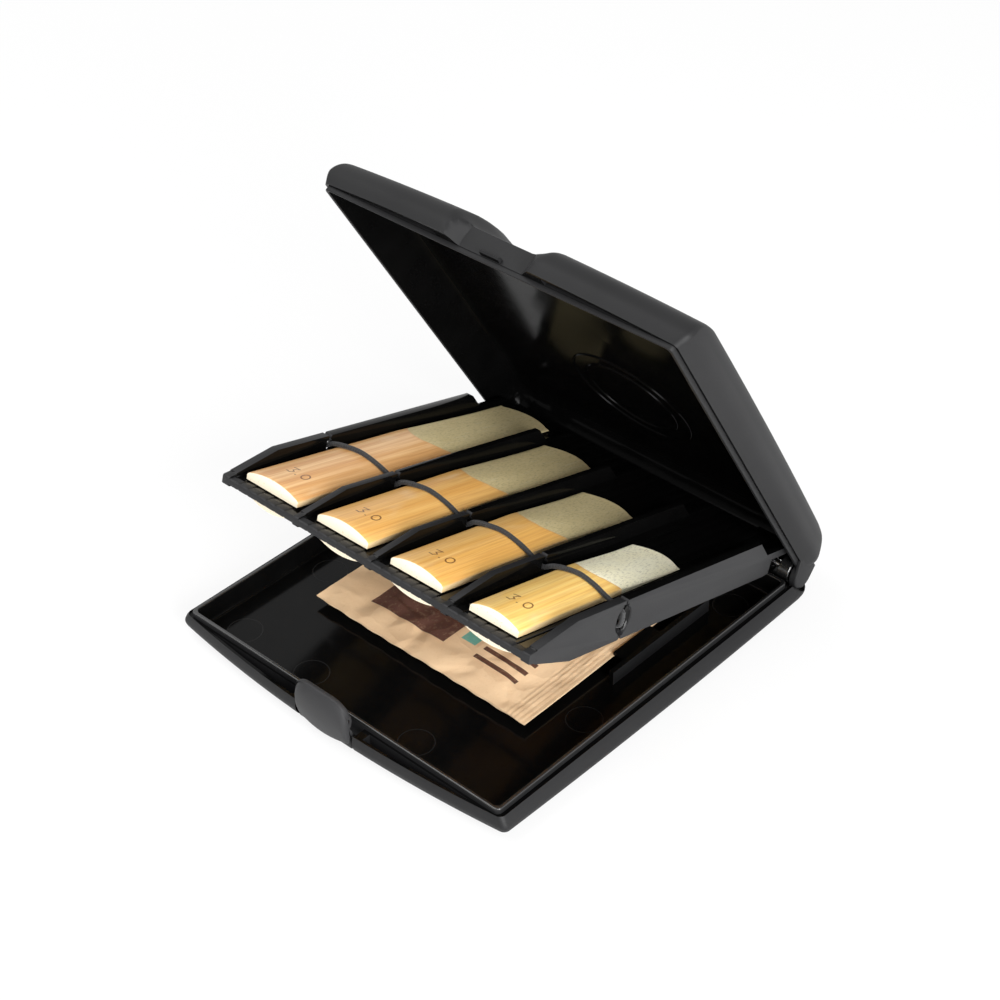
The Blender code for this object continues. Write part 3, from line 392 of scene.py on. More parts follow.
def ring(half, front, rear, corner, rear_corner, side_bow, front_bow, height):
    """One closed row of points: a rounded oblong that swells at the sides and the front."""
    arcs = []
    for x_side, y, radius, quarter in ((LEFT, front + corner, corner, 2),
                                       (RIGHT, front + corner, corner, 3),
                                       (RIGHT, rear - rear_corner, rear_corner, 0),
                                       (LEFT, rear - rear_corner, rear_corner, 1)):
        turns = [(quarter + step / CORNER_STEPS) * math.pi / 2 for step in range(CORNER_STEPS + 1)]
        arcs.append(arc((x_side * (half - radius), y), radius, turns))
    points = []
    for number, (bend, following) in enumerate(zip(arcs, arcs[1:] + arcs[:1])):
        points += bend
        start, end = bend[-1], following[0]
        for step in range(1, SPANS[number]):
            share = step / SPANS[number]
            if number == 0:
                share = crowded(share)
            points.append(tuple(a + (b - a) * share for a, b in zip(start, end)))
    middle, half_depth = (front + rear) / 2, (rear - front) / 2
    swelled = []
    for x, y in points:
        across, along = x / half, (y - middle) / half_depth
        swelled.append((x + side_bow * across * (1 - along * along),
                        y - front_bow * (1 - across * across) * max(0.0, -along), height))
    return swelled


def body(name, work, settled=False):
    """Finish a bmesh as an object of its own, with its faces looking out."""
    if not settled:
        bmesh.ops.recalc_face_normals(work, faces=work.faces)
        if work.calc_volume(signed=True) < 0:
            bmesh.ops.reverse_faces(work, faces=work.faces)
    mesh = bpy.data.meshes.new(name)
    work.to_mesh(mesh)
    work.free()
    return linked(name, mesh)


def loft(name, rings, endless=False):
    """Join rings of equal length into one closed body; an endless one ends where it starts."""
    work = bmesh.new()
    loops = [[work.verts.new(point) for point in points] for points in rings]
    count = len(loops[0])
    for lower, upper in zip(loops, loops[1:] + loops[:1] * endless):
        for index in range(count):
            after = (index + 1) % count
            work.faces.new((lower[index], lower[after], upper[after], upper[index]))
    if not endless:
        work.faces.new(list(reversed(loops[0])))
        work.faces.new(loops[-1])
    return body(name, work)


def prism(name, outline, axis, start, end):
    """Extrude a flat outline along x or z."""
    return loft(name, [[(along, a, b) if axis == "x" else (a, b, along) for a, b in outline]
                       for along in (start, end)])


def box(name, low, high):
    outline = [(low[1], low[2]), (high[1], low[2]), (high[1], high[2]), (low[1], high[2])]
    return prism(name, outline, "x", low[0], high[0])


def round_bar(name, centre, radius, start, end):
    return prism(name, arc(centre, radius, whole_turn(ROUND_STEPS)), "x", start, end)


def tube(name, centre, outer, inner, start, end, round_off):
    """A ring-shaped barrel along x with softly rounded ends."""
    start, end = sorted((start, end))
    section = [(start + round_off, outer), (end - round_off, outer), (end, outer - round_off),
               (end, inner), (start, inner), (start, outer - round_off)]
    return loft(name, [[(x, *arc(centre, reach, [turn])[0]) for x, reach in section]
                       for turn in whole_turn(BARREL_STEPS)], endless=True)


def settle(piece):
    """Turn an object with modifiers into a plain mesh."""
    bpy.context.view_layer.update()
    evaluated = piece.evaluated_get(bpy.context.evaluated_depsgraph_get())
    mesh = bpy.data.meshes.new_from_object(evaluated)
    piece.modifiers.clear()
    piece.data = mesh
    return piece


def carve(target, cutter):
    """Cut one body out of another."""
    change = target.modifiers.new("cut", "BOOLEAN")
    change.operation = "DIFFERENCE"
    change.solver = "EXACT"
    change.object = cutter
    settle(target)
    bpy.data.objects.remove(cutter)


def joined(name, pieces):
    """Put several bodies into one mesh; where they overlap, the hidden parts stay inside."""
    work = bmesh.new()
    for piece in pieces:
        work.from_mesh(piece.data)
        bpy.data.objects.remove(piece)
    return body(name, work, settled=True)


def smooth(piece, angle=30 * DEGREE):
    piece.data.shade_smooth()
    piece.data.set_sharp_from_angle(angle=angle)
    return piece


def rounded_rim(outer, inner, foot, top, radius, steps=4):
    """Rows over a rim: up the outer side, over two small quarter rounds, and down inside."""
    rows = [(*outer, foot)]
    for (half, front, rear, *rest), way in ((outer, 1), (inner, -1)):
        for step in range(steps + 1):
            turn = math.pi / 2 * (step if way > 0 else steps - step) / steps
            inset = way * radius * (1 - math.cos(turn))
            drop = math.copysign(radius * (1 - math.sin(turn)), top - foot)
            rows.append((half - inset, front + inset, rear - inset, *rest, top - drop))
    return rows


print("loft kit ready")

# %% [markdown]
# The base has a shallow cavity with a thin rim. Around it runs a lower shoulder, and then
# the outer skin curves away beneath. Between the rim and the bowed front skin two crescent
# pockets are left open, with a slot for the latch between them. At the rear, a ledge drops
# below the rim and carries the barrels of the hinge. The rail and its tab hold the sachet.

# %% Base shell
BASE_SKIN_SHARES = (
    (1.0, 1.0, 1.0, 0.0, 0.3),
    (0.54, 0.265, 0.4, 0.063, 0.7),
    (0.15, 0.07, 0.12, 0.286, 1.0),
    (0.0, 0.0, 0.0, 0.571, 1.0),
    (0.09, 0.0, 0.02, 0.825, 0.6),
    (0.22, 0.015, 0.05, 1.0, 0.2),
)
CAVITY_SHARES = ((0.0, 0.0), (0.02, 0.5), (0.08, 0.8), (0.3, 0.95), (0.6, 0.99), (1.0, 1.0))
CAVITY_HALF, CAVITY_FRONT, CAVITY_REAR = 44.3 * MM, -46.8 * MM, 46.8 * MM
SKIN_FRONT = -51.4 * MM
SIDE_BOW = 0.7 * MM
SHARP_CORNER, REAR_CORNER = 1.2 * MM, 6.4 * MM
SQUARE = (SHARP_CORNER, SHARP_CORNER, 0, 0)
FLOOR, SHOULDER, RIM = 2.0 * MM, 6.3 * MM, 7.4 * MM
GROOVE = 0.35 * MM
GROOVE_STEPS = ((0.1 * MM, 0.0), (0.2 * MM, 0.5), (0.3 * MM, 1.0))
BASE_HALF = CAVITY_HALF + 3.1 * MM
BASE_FRONT = CAVITY_FRONT - 1.3 * MM
BASE_REAR = CAVITY_REAR + 9.4 * MM
FRONT_BOW = BASE_FRONT - SKIN_FRONT
BASE_EDGE, BASE_FRONT_ROUND, BASE_REAR_ROUND = 5.4 * MM, 13.6 * MM, 6.0 * MM
BASE_FRONT_LIFT = 0.8 * MM
LIFT_START, LIFT_FADE = 0.063, 0.15
FLOOR_ROUND = 1.2 * MM
RIM_WALL, RIM_ROUND = 0.8 * MM, 0.22 * MM
POCKET_WALL, POCKET_TIP, POCKET_STEPS = 1.25 * MM, 0.2 * MM, 24
SKIN_WALL = 1.1 * MM
SLOT_HALF = 8.35 * MM
LATCH_WEB = 1.9 * MM
BASE_POCKET_DEPTH = 3.9 * MM
REAR_TOP = 3.1 * MM
REAR_WALL_Y = CAVITY_REAR + RIM_WALL
EAR_X, EAR_ROOM = 44.55 * MM, 3.55 * MM
OUTSIDE = 60.0 * MM
PIN_BORE = 1.1 * MM
HINGE_AXIS = (HINGE.y, HINGE.z)
BARREL, BARREL_ROUND = 2.9 * MM, 0.2 * MM
BARREL_SPANS = metres(((-32.6, 32.6), (41.3, 44.3), (-44.3, -41.3)))
WEB_HALF, WEB_TUCK, WEB_TOP = 1.45 * MM, 0.2 * MM, HINGE.z - 1.6 * MM
RAIL = metres(((33.4, 0.2, 1.8), (34.6, 33.2, 5.4)))
TAB = metres(((30.2, 5.5, 4.5), (34.4, 17.5, 5.25)))


def base_rows():
    rows = []
    for side, front, rear, rise, bow in eased(BASE_SKIN_SHARES):
        rows.append((BASE_HALF - side * BASE_EDGE, BASE_FRONT + front * BASE_FRONT_ROUND,
                     BASE_REAR - rear * BASE_REAR_ROUND, SHARP_CORNER, REAR_CORNER,
                     bow * SIDE_BOW, FRONT_BOW, rise * SHOULDER))
    half, front, rear, *rest, top = rows[-1]
    for inset, depth_share in GROOVE_STEPS:
        rows.append((half - inset, front + inset, rear - inset, *rest, top - depth_share * GROOVE))
    rows += rounded_rim((CAVITY_HALF + RIM_WALL, CAVITY_FRONT - RIM_WALL, REAR_WALL_Y, *SQUARE),
                        (CAVITY_HALF, CAVITY_FRONT, CAVITY_REAR, *SQUARE),
                        SHOULDER - GROOVE, RIM, RIM_ROUND)
    for inset_share, depth_share in eased(CAVITY_SHARES, 3)[1:]:
        inset = inset_share * FLOOR_ROUND
        rows.append((CAVITY_HALF - inset, CAVITY_FRONT + inset, CAVITY_REAR - inset, *SQUARE,
                     RIM - RIM_ROUND - depth_share * (RIM - RIM_ROUND - FLOOR)))
    return rows


def lifted(points, rise_share):
    """The underside lifts a little toward the front edge."""
    fade = max(0.0, 1 - max(0.0, rise_share - LIFT_START) / LIFT_FADE)
    lift = BASE_FRONT_LIFT * min(1.0, rise_share / LIFT_START) * fade
    return [(x, y, z + lift * clamped((BASE_FRONT + BASE_FRONT_ROUND - y) / BASE_FRONT_ROUND) ** 2)
            for x, y, z in points]


def pocket(side, start, low, high):
    """A crescent between the straight wall and the bowed front skin."""
    inner = CAVITY_FRONT - POCKET_WALL
    outer = SKIN_FRONT + SKIN_WALL
    end = BASE_HALF * math.sqrt((inner - outer - POCKET_TIP) / FRONT_BOW)
    xs = [end + (start - end) * step / POCKET_STEPS for step in range(POCKET_STEPS + 1)]
    outline = [(side * start, inner), (side * end, inner)]
    outline += [(side * x, outer + FRONT_BOW * (x / BASE_HALF) ** 2) for x in xs]
    return prism("pocket", outline, "z", low, high)


def make_base():
    rows = base_rows()
    rings = [ring(*row) for row in rows]
    for number in range(len(eased(BASE_SKIN_SHARES))):
        rings[number] = lifted(rings[number], rows[number][-1] / SHOULDER)
    shell = loft("base_body", rings)
    carve(shell, box("slot", (-SLOT_HALF, -OUTSIDE, -OUTSIDE),
                     (SLOT_HALF, CAVITY_FRONT - RIM_WALL, OUTSIDE)))
    for side in (LEFT, RIGHT):
        carve(shell, pocket(side, SLOT_HALF + LATCH_WEB, SHOULDER - BASE_POCKET_DEPTH, RIM))
    carve(shell, box("rear", (-EAR_X, REAR_WALL_Y, REAR_TOP), (EAR_X, OUTSIDE, OUTSIDE)))
    for side in (LEFT, RIGHT):
        low, high = sorted((side * EAR_X, side * OUTSIDE))
        carve(shell, box("corner", (low, HINGE.y, REAR_TOP), (high, OUTSIDE, OUTSIDE)))
        carve(shell, round_bar("ear room", HINGE_AXIS, EAR_ROOM, low, high))
    parts = [shell]
    for start, end in BARREL_SPANS:
        parts.append(tube("barrel", HINGE_AXIS, BARREL, PIN_BORE, start, end, BARREL_ROUND))
        parts.append(box("web", (start + WEB_TUCK, HINGE.y - WEB_HALF, REAR_TOP - WEB_TUCK),
                         (end - WEB_TUCK, HINGE.y + WEB_HALF, WEB_TOP)))
    parts += [box("rail", *RAIL), box("tab", *TAB)]
    return smooth(joined("base_soft", parts))


base = make_base()
print("base:", len(base.data.polygons), "faces")

# %% [markdown]
# The lid is the deeper half. Its front rolls over in one broad curve, and a scoop for the
# thumb is pressed into the roll: its points move back to the wall and sink, most at the rim
# and less on the roof. The ceiling follows where it must, so that the wall stays whole. The
# flat middle of the roof and of the ceiling gets rows of its own there. A small nub in the
# scoop is what the latch snaps over, and two rings stand on the ceiling.

# %% Lid shell
LID_SKIN_SHARES = (
    (1.0, 1.0, 1.0, 1.0, 0.5),
    (0.583, 0.757, 0.65, 0.964, 0.8),
    (0.375, 0.563, 0.45, 0.9, 1.0),
    (0.25, 0.427, 0.32, 0.836, 1.0),
    (0.135, 0.252, 0.18, 0.727, 1.0),
    (0.052, 0.078, 0.08, 0.555, 1.0),
    (0.0, 0.0, 0.0, 0.282, 1.0),
    (0.125, 0.01, 0.01, 0.0, 0.2),
)
CEILING_SHARES = (
    (0.0, 0.0, 0.0, 0.0),
    (0.06, 0.017, 0.017, 0.421),
    (0.08, 0.069, 0.052, 0.602),
    (0.125, 0.224, 0.13, 0.756),
    (0.23, 0.392, 0.278, 0.873),
    (0.5, 0.663, 0.565, 0.955),
    (1.0, 1.0, 1.0, 1.0),
)
LID_INNER_HALF = 44.9 * MM
LID_INNER_FRONT = CAVITY_FRONT - 0.47 * MM
LID_HALF = LID_INNER_HALF + 2.7 * MM
LID_FRONT = CAVITY_FRONT - 1.5 * MM
LID_REAR = CAVITY_REAR + 8.4 * MM
LID_INNER_REAR = LID_REAR - 1.5 * MM
LID_BOW = LID_FRONT - SKIN_FRONT
LID_TOP, LID_BOTTOM, LID_EDGE = 19.9 * MM, 7.75 * MM, 8.8 * MM
LID_ROOF = 1.1 * MM
SKIN_SIDE, SKIN_FRONT_ROLL, SKIN_REAR_ROLL = 9.6 * MM, 20.6 * MM, 10.0 * MM
CEILING_SIDE, CEILING_FRONT_ROLL, CEILING_REAR_ROLL = 2.4 * MM, 15.4 * MM, 11.5 * MM
FLAT_ROOF_INSETS = (38, 35, 32, 29, 26, 23)
FLAT_CEILING_INSETS = (18, 21, 24, 27, 30, 34)
INNER_CORNER = (SHARP_CORNER, 4.9 * MM, 0, 0)
LID_WALL = (LID_INNER_HALF + 0.9 * MM, CAVITY_FRONT - 0.95 * MM, LID_REAR - 0.6 * MM,
            SHARP_CORNER, 5.5 * MM, 0, 0)
LID_POCKET_TOP = LID_EDGE + 4.0 * MM
REAR_EDGE, REAR_START = LID_EDGE + 0.6 * MM, CAVITY_REAR + 0.2 * MM
BARREL_ROOM = 3.3 * MM
EAR, EAR_END = 3.2 * MM, 46.5 * MM
LOBE_TURNS = range(200, 381, 12)
LOBE_ENDS = metres(((2.0, 11.6), (-5.4, 11.6), (-5.4, 9.2)))
LOBE_MIDDLE = (HINGE.y - 0.8 * MM, HINGE.z + 0.8 * MM)
LOBE_RINGS = ((45.9, 1.0), (46.35, 1.0), (46.58, 0.97), (46.7, 0.92), (46.74, 0.85))
SADDLE_Y = CAVITY_FRONT - 1.2 * MM
SCOOP_HALF, SCOOP_FLARE = 8.6 * MM, 4.0 * MM
SCOOP_BACK_HALF, SCOOP_BACK_FLARE = 2.5 * MM, 8.0 * MM
SCOOP_BACK = 13.0 * MM
SCOOP_CUT, SCOOP_CUT_POWER = SADDLE_Y - SKIN_FRONT + 1.0 * MM, 0.8
FRONT_DENT, ROOF_DENT, ROOF_THINNING = 1.4 * MM, 2.3 * MM, 0.75 * MM
FRONT_DENT_FADE, ROOF_DENT_FADE = metres(((5, 13), (15, 31)))
NUB_HALF, NUB_LOW = 2.5 * MM, 8.9 * MM
NUB_SECTION = metres(((-0.3, 0.0), (1.04, 0.15), (1.3, 0.55), (0.91, 0.935), (-0.3, 1.1)))
CEILING_RINGS = (15.7 * MM, 12.0 * MM)
RING_Y, RING_BEAD, RING_STEPS, BEAD_STEPS = 24.4 * MM, 0.35 * MM, 160, 10


def softly(value, low, high):
    share = clamped((value - low) / (high - low))
    return share * share * (3 - 2 * share)


def dent(x, y):
    """How far the roof sinks in the thumb scoop."""
    back = y - SKIN_FRONT
    far = clamped(back / SCOOP_BACK)
    flat = SCOOP_HALF + (SCOOP_BACK_HALF - SCOOP_HALF) * far
    flare = SCOOP_FLARE + (SCOOP_BACK_FLARE - SCOOP_FLARE) * far
    across = math.cos(clamped((abs(x) - flat) / flare) * math.pi / 2)
    return across * (FRONT_DENT * (1 - softly(back, *FRONT_DENT_FADE))
                     + ROOF_DENT * (1 - softly(back, *ROOF_DENT_FADE)))


def scooped(points, rise_share):
    """Push the front in to the saddle wall and the roof down, where the thumb goes."""
    made = []
    for x, y, z in points:
        sink = dent(x, y) * rise_share
        share = max(0.0, abs(x) - SCOOP_HALF) / SCOOP_FLARE
        if share < 1:
            y = max(y, SADDLE_Y - SCOOP_CUT * share ** SCOOP_CUT_POWER)
        made.append((x, y, z - sink))
    return made


def ear_lobe(side):
    """The cap over the pin's end, drawn out into the side wall above it."""
    outline = arc(HINGE_AXIS, EAR, [angle * DEGREE for angle in LOBE_TURNS])
    outline += [(HINGE.y + along, height) for along, height in LOBE_ENDS]
    middle_y, middle_z = LOBE_MIDDLE
    return loft("ear lobe", [[(side * x * MM, middle_y + (y - middle_y) * scale,
                               middle_z + (z - middle_z) * scale) for y, z in outline]
                             for x, scale in LOBE_RINGS])


def ceiling_ring(radius):
    """A low round bead on the ceiling."""
    section = arc((radius, LID_TOP - LID_ROOF), RING_BEAD, whole_turn(BEAD_STEPS))
    rings = [[(reach * math.cos(turn), RING_Y + reach * math.sin(turn), z) for reach, z in section]
             for turn in whole_turn(RING_STEPS)]
    return loft("ring", rings, endless=True)


def lid_rings():
    """Over the skin from the middle of the roof, around the rim, and up to the ceiling."""
    rings = []
    roof = [(1.0, inset * MM / SKIN_FRONT_ROLL, 1.0, 1.0, 0.5) for inset in FLAT_ROOF_INSETS]
    for side, front, rear, rise, bow in roof + eased(LID_SKIN_SHARES):
        points = ring(LID_HALF - side * SKIN_SIDE, LID_FRONT + front * SKIN_FRONT_ROLL,
                      LID_REAR - rear * SKIN_REAR_ROLL, SHARP_CORNER, REAR_CORNER,
                      bow * SIDE_BOW, LID_BOW, LID_EDGE + rise * (LID_TOP - LID_EDGE))
        rings.append(scooped(points, rise))
    inner = (LID_INNER_HALF, LID_INNER_FRONT, LID_INNER_REAR, *INNER_CORNER)
    rings += [ring(*row) for row in rounded_rim(LID_WALL, inner, LID_EDGE, LID_BOTTOM, RIM_ROUND)]
    ceiling = [(1.0, inset * MM / CEILING_FRONT_ROLL, 1.0, 1.0) for inset in FLAT_CEILING_INSETS]
    for side, front, rear, rise in eased(CEILING_SHARES, 5)[1:] + ceiling:
        height = max(RIM_ROUND, rise * (LID_TOP - LID_ROOF - LID_BOTTOM))
        points = ring(LID_INNER_HALF - side * CEILING_SIDE,
                      LID_INNER_FRONT + front * CEILING_FRONT_ROLL,
                      LID_INNER_REAR - rear * CEILING_REAR_ROLL, *INNER_CORNER, LID_BOTTOM + height)
        rings.append([(x, y, z - max(0.0, dent(x, y) - ROOF_THINNING) * rise)
                      for x, y, z in points])
    return rings


def make_lid():
    half = LID_INNER_HALF
    shell = loft("lid_body", lid_rings())
    for side in (LEFT, RIGHT):
        carve(shell, pocket(side, SLOT_HALF + SCOOP_FLARE + LATCH_WEB, LID_BOTTOM, LID_POCKET_TOP))
    carve(shell, box("rear", (-half, REAR_START, 0), (half, OUTSIDE, REAR_EDGE)))
    carve(shell, round_bar("barrel room", HINGE_AXIS, BARREL_ROOM, -half, half))
    parts = [shell]
    for side in (LEFT, RIGHT):
        ends = side * half, side * EAR_END
        parts.append(tube("ear", HINGE_AXIS, EAR, PIN_BORE, *ends, BARREL_ROUND))
        parts.append(ear_lobe(side))
    nub = [(SADDLE_Y - reach, NUB_LOW + rise) for reach, rise in NUB_SECTION]
    parts.append(prism("nub", nub, "x", -NUB_HALF, NUB_HALF))
    parts += [ceiling_ring(radius) for radius in CEILING_RINGS]
    made = smooth(joined("lid_soft", parts))
    made.data.transform(LID_TURN)
    return made


lid = make_lid()
print("lid:", len(lid.data.polygons), "faces")

# %% [markdown]
# The latch is a soft pad. Its section is a closed smooth curve through a few chosen points,
# and the pad is a row of such sections along x. Toward the ends the sections get lower and
# thinner, which rounds the corners and the edges in one go, and a belly bows the front.

# %% Latch
LATCH_HALF, LATCH_CORNER = 7.5 * MM, 4.0 * MM
LATCH_EDGE, LATCH_EDGE_SHARE = 0.9 * MM, 0.35
LATCH_BELLY = 0.8 * MM
LATCH_SECTION = metres((
    (-50.2, 2.5), (-51.3, 2.5), (-52.1, 3.7), (-52.5, 6.0), (-52.6, 8.6), (-52.3, 11.2),
    (-51.6, 13.2), (-50.6, 14.4), (-49.6, 14.3), (-49.3, 13.4), (-49.6, 11.8), (-49.0, 11.3),
    (-48.9, 10.6), (-50.0, 10.0), (-50.6, 8.4), (-50.6, 5.6), (-50.2, 4.2), (-49.8, 3.2),
))
LATCH_STEPS = 44
LATCH_BARREL, LATCH_BORE, LATCH_BARREL_END, LATCH_BARREL_ROUND = metres([(1.35, 0.7, 7.6, 0.15)])[0]


def make_latch():
    section = closed_curve(LATCH_SECTION)
    low = min(z for _, z in section)
    top = max(z for _, z in section)
    middle = sum(y for y, _ in section) / len(section)
    rings = []
    for step in range(LATCH_STEPS + 1):
        across = -math.cos(math.pi * step / LATCH_STEPS)
        x = across * LATCH_HALF
        beyond = max(0.0, abs(x) - (LATCH_HALF - LATCH_CORNER))
        drop = LATCH_CORNER - math.sqrt(max(0.0, LATCH_CORNER ** 2 - beyond ** 2))
        edge = max(0.0, abs(x) - (LATCH_HALF - LATCH_EDGE)) / LATCH_EDGE
        thin = LATCH_EDGE_SHARE + (1 - LATCH_EDGE_SHARE) * math.sqrt(max(0.0, 1 - edge * edge))
        belly = LATCH_BELLY * across * across
        foot = low + belly
        height = (top - drop - foot) / (top - low)
        rings.append([(x, middle + (y - middle) * thin + belly * (y < middle),
                       foot + (z - low) * height) for y, z in section])
    barrel = tube("latch barrel", (PIVOT.y, PIVOT.z), LATCH_BARREL, LATCH_BORE,
                  -LATCH_BARREL_END, LATCH_BARREL_END, LATCH_BARREL_ROUND)
    made = smooth(joined("latch_soft", [loft("latch_pad", rings), barrel]), 50 * DEGREE)
    made.data.transform(LATCH_TURN)
    return made


latch = make_latch()
print("latch:", len(latch.data.polygons), "faces")

# %% [markdown]
# The tray keeps the solid's own shape. It comes in as loose triangles, so a copy of it is
# merged, its flat triangles are joined again, and a narrow bevel takes the knife edge off.
# Each new piece then rides on its body and takes the bare solid's place.

# %% Tray, and the pieces on their bodies
MERGE = 0.002 * MM
FLAT_ANGLE = 0.6 * DEGREE
SHARP_ANGLE = 32 * DEGREE
TRAY_BEVEL = 0.08 * MM


def make_tray():
    work = bmesh.new()
    work.from_mesh(frame["nodes"]["tray"].data)
    bmesh.ops.remove_doubles(work, verts=work.verts, dist=MERGE)
    bmesh.ops.dissolve_limit(work, angle_limit=FLAT_ANGLE, verts=work.verts, edges=work.edges)
    piece = body("tray_soft", work, settled=True)
    bevel = piece.modifiers.new("edge radius", "BEVEL")
    bevel.width = TRAY_BEVEL
    bevel.segments = 2
    bevel.limit_method = "ANGLE"
    bevel.angle_limit = SHARP_ANGLE
    return smooth(settle(piece), SHARP_ANGLE)


tray = make_tray()
PLACES = (
    (base, "base", "base_shell", "shell_plastic"),
    (lid, "lid", "lid_shell", "shell_plastic"),
    (latch, "latch_body", "latch", "latch_plastic"),
    (tray, "tray_body", "tray", "tray_plastic"),
)
for piece, body_name, node, slot in PLACES:
    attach(piece, body_name)
    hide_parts(node)
print("four moulded parts in place")

# %% [markdown]
# Outside, the shells are spark-eroded matte; inside, they are polished like piano lacquer.
# A face that looks toward the middle of the cavity is inside, and the dot product of its
# normal with its place tells which. The rims stay matte, and the base's one is a little
# shinier, so that it catches a thin line of light. The polish carries faint round marks
# where ejector pins pushed the part out.

# %% Shell plastic
EJECTOR_MARKS = metres(((-36.4, -40.1), (-37.5, -13.2), (-15.6, -39.9), (15.9, -40.4),
                        (37.0, -12.0), (37.0, 38.0)))
EJECTOR_RADIUS, EJECTOR_LINE = 3.9 * MM, 0.11 * MM
BASE_EYE, LID_EYE = Vector((0, 0, 20 * MM)), Vector((0, 0, -8 * MM))
LID_RIM_ZONE = LID_BOTTOM + 0.12 * MM
SHELL_GREYS = (tint(22, 22, 23), tint(27, 27, 28))
RIM_GREYS = (tint(20, 20, 20), tint(24, 24, 24))
POLISH_GREYS = (tint(7, 7, 7), tint(11, 11, 11))


def matte_paint(name, greys, roughness, matrix=None, grain_scale=5200.0, specular=0.22):
    paint = Paint(name, Specular_IOR_Level=specular)
    place = paint.place(matrix)
    grain = paint.noise(place, grain_scale, 2.0, 0.6)
    cloud = paint.noise(place, 60.0)
    colour = paint.ramp(cloud, (0.3, greys[0]), (0.7, greys[1]))
    return paint.coat(colour, roughness + 0.1 * grain, grain, 0.03 * MM, 0.5)


def gloss_paint(name, specular, marks=(), matrix=None):
    paint = Paint(name, Specular_IOR_Level=specular)
    place = paint.place(matrix)
    smear = paint.noise(place, 140.0, 4.0, 0.6)
    height = smear * 0.04 + paint.noise(place, 35.0, 2.0) * 0.25
    colour = paint.ramp(smear, (0.3, POLISH_GREYS[0]), (0.7, POLISH_GREYS[1]))
    x, y, _ = paint.split(place)
    for mark_x, mark_y in marks:
        dx, dy = x - mark_x, y - mark_y
        distance = (dx * dx + dy * dy).math("SQRT")
        line = (distance - EJECTOR_RADIUS).absolute().below(EJECTOR_LINE)
        colour = paint.mix(line * 0.6, colour, tint(34, 34, 34))
        height = height + line * 0.5
    return paint.coat(colour, 0.06 + 0.12 * smear, height, 0.04 * MM, 0.5)


def finished(piece, matrix, outside, inside, is_outside):
    """Give each face the outside or the inside material, by its place in the closed case."""
    piece.data.materials.append(outside)
    piece.data.materials.append(inside)
    back = matrix.inverted()
    turn = back.to_3x3()
    for face in piece.data.polygons:
        face.material_index = 0 if is_outside(back @ face.center, turn @ face.normal) else 1


finished(base, Matrix.Identity(4), matte_paint("Base matte skin", SHELL_GREYS, 0.5),
         gloss_paint("Base polished inside", 0.1, EJECTOR_MARKS),
         lambda place, normal: (place - BASE_EYE).dot(normal) > 0)
finished(lid, LID_TURN, matte_paint("Lid matte skin", SHELL_GREYS, 0.5, LID_TURN),
         gloss_paint("Lid polished inside", 0.035, matrix=LID_TURN),
         lambda place, normal: (place - LID_EYE).dot(normal) > 0 or place.z < LID_RIM_ZONE)
base.data.materials.append(matte_paint("Base rim", RIM_GREYS, 0.2, specular=0.8))
for face in base.data.polygons:
    if face.center.z > RIM - RIM_ROUND:
        face.material_index = 2
print("shell finishes:", [material.name for material in base.data.materials])

# %% [markdown]
# The latch has the shells' matte grain without any polish. The tray is matte on its outer
# sides, its front and the upper parts of its walls, which are a flat mid-grey under the
# lamp; the floors of its slots are polished and sink to black. Its grain is finer than the
# shells'.

# %% Latch and tray plastic
TRAY_SIDE = 42.9 * MM
TRAY_MIDDLE = 6.1 * MM
TRAY_FLOOR_ZONE = 2.7 * MM
TRAY_LIP, TRAY_REAR_ZONE = -91.5 * MM, -58.0 * MM
LATCH_GREYS = (tint(40, 40, 41), tint(46, 46, 47))
TRAY_GREYS = (tint(31, 31, 32), tint(36, 36, 37))


def on_tray_outside(place, normal):
    above_floors = abs(place.z - TRAY_MIDDLE) > TRAY_FLOOR_ZONE
    return (abs(place.x) > TRAY_SIDE or place.y < TRAY_LIP
            or (place.y < TRAY_REAR_ZONE and above_floors))


latch.data.materials.append(matte_paint("Latch plastic", LATCH_GREYS, 0.46))
finished(tray, TRAY_FRAME,
         matte_paint("Tray outer sides", TRAY_GREYS, 0.42, TRAY_FRAME, grain_scale=6400.0),
         gloss_paint("Tray polished slots", 0.16, matrix=TRAY_FRAME), on_tray_outside)
print("latch and tray painted")

# %% [markdown]
# The pins are bright drawn steel wire. Drawing leaves fine lines along the wire, so the noise
# is stretched along x, the way the pins lie, and feeds the roughness.

# %% Steel pins


def steel_paint():
    paint = Paint("Drawn steel wire", Metallic=1.0)
    lines = paint.noise(paint.place(), (120.0, 4000.0, 4000.0), 2.0)
    colour = paint.ramp(lines, (0.2, tint(176, 176, 180)), (0.8, tint(205, 205, 208)))
    return paint.coat(colour, 0.2 + 0.15 * lines, lines, 0.01 * MM, 0.4)


steel = steel_paint()
for name in ("hinge_pin_left", "hinge_pin_right", "latch_pin"):
    pin = frame["nodes"][name]
    pin.data.materials.clear()
    pin.data.materials.append(steel)
print("pins in", steel.name)

# %% [markdown]
# A reed is a strip of cane: flat below, with the shiny bark above, sawn square at the butt
# and planed to a thin vamp that ends in a rounded tip. It is lofted from cross-sections
# again, much finer than the solid, and its corners get a coordinate of their own: how far
# across and how far along the reed a point lies. The cane's fibres then follow each reed.

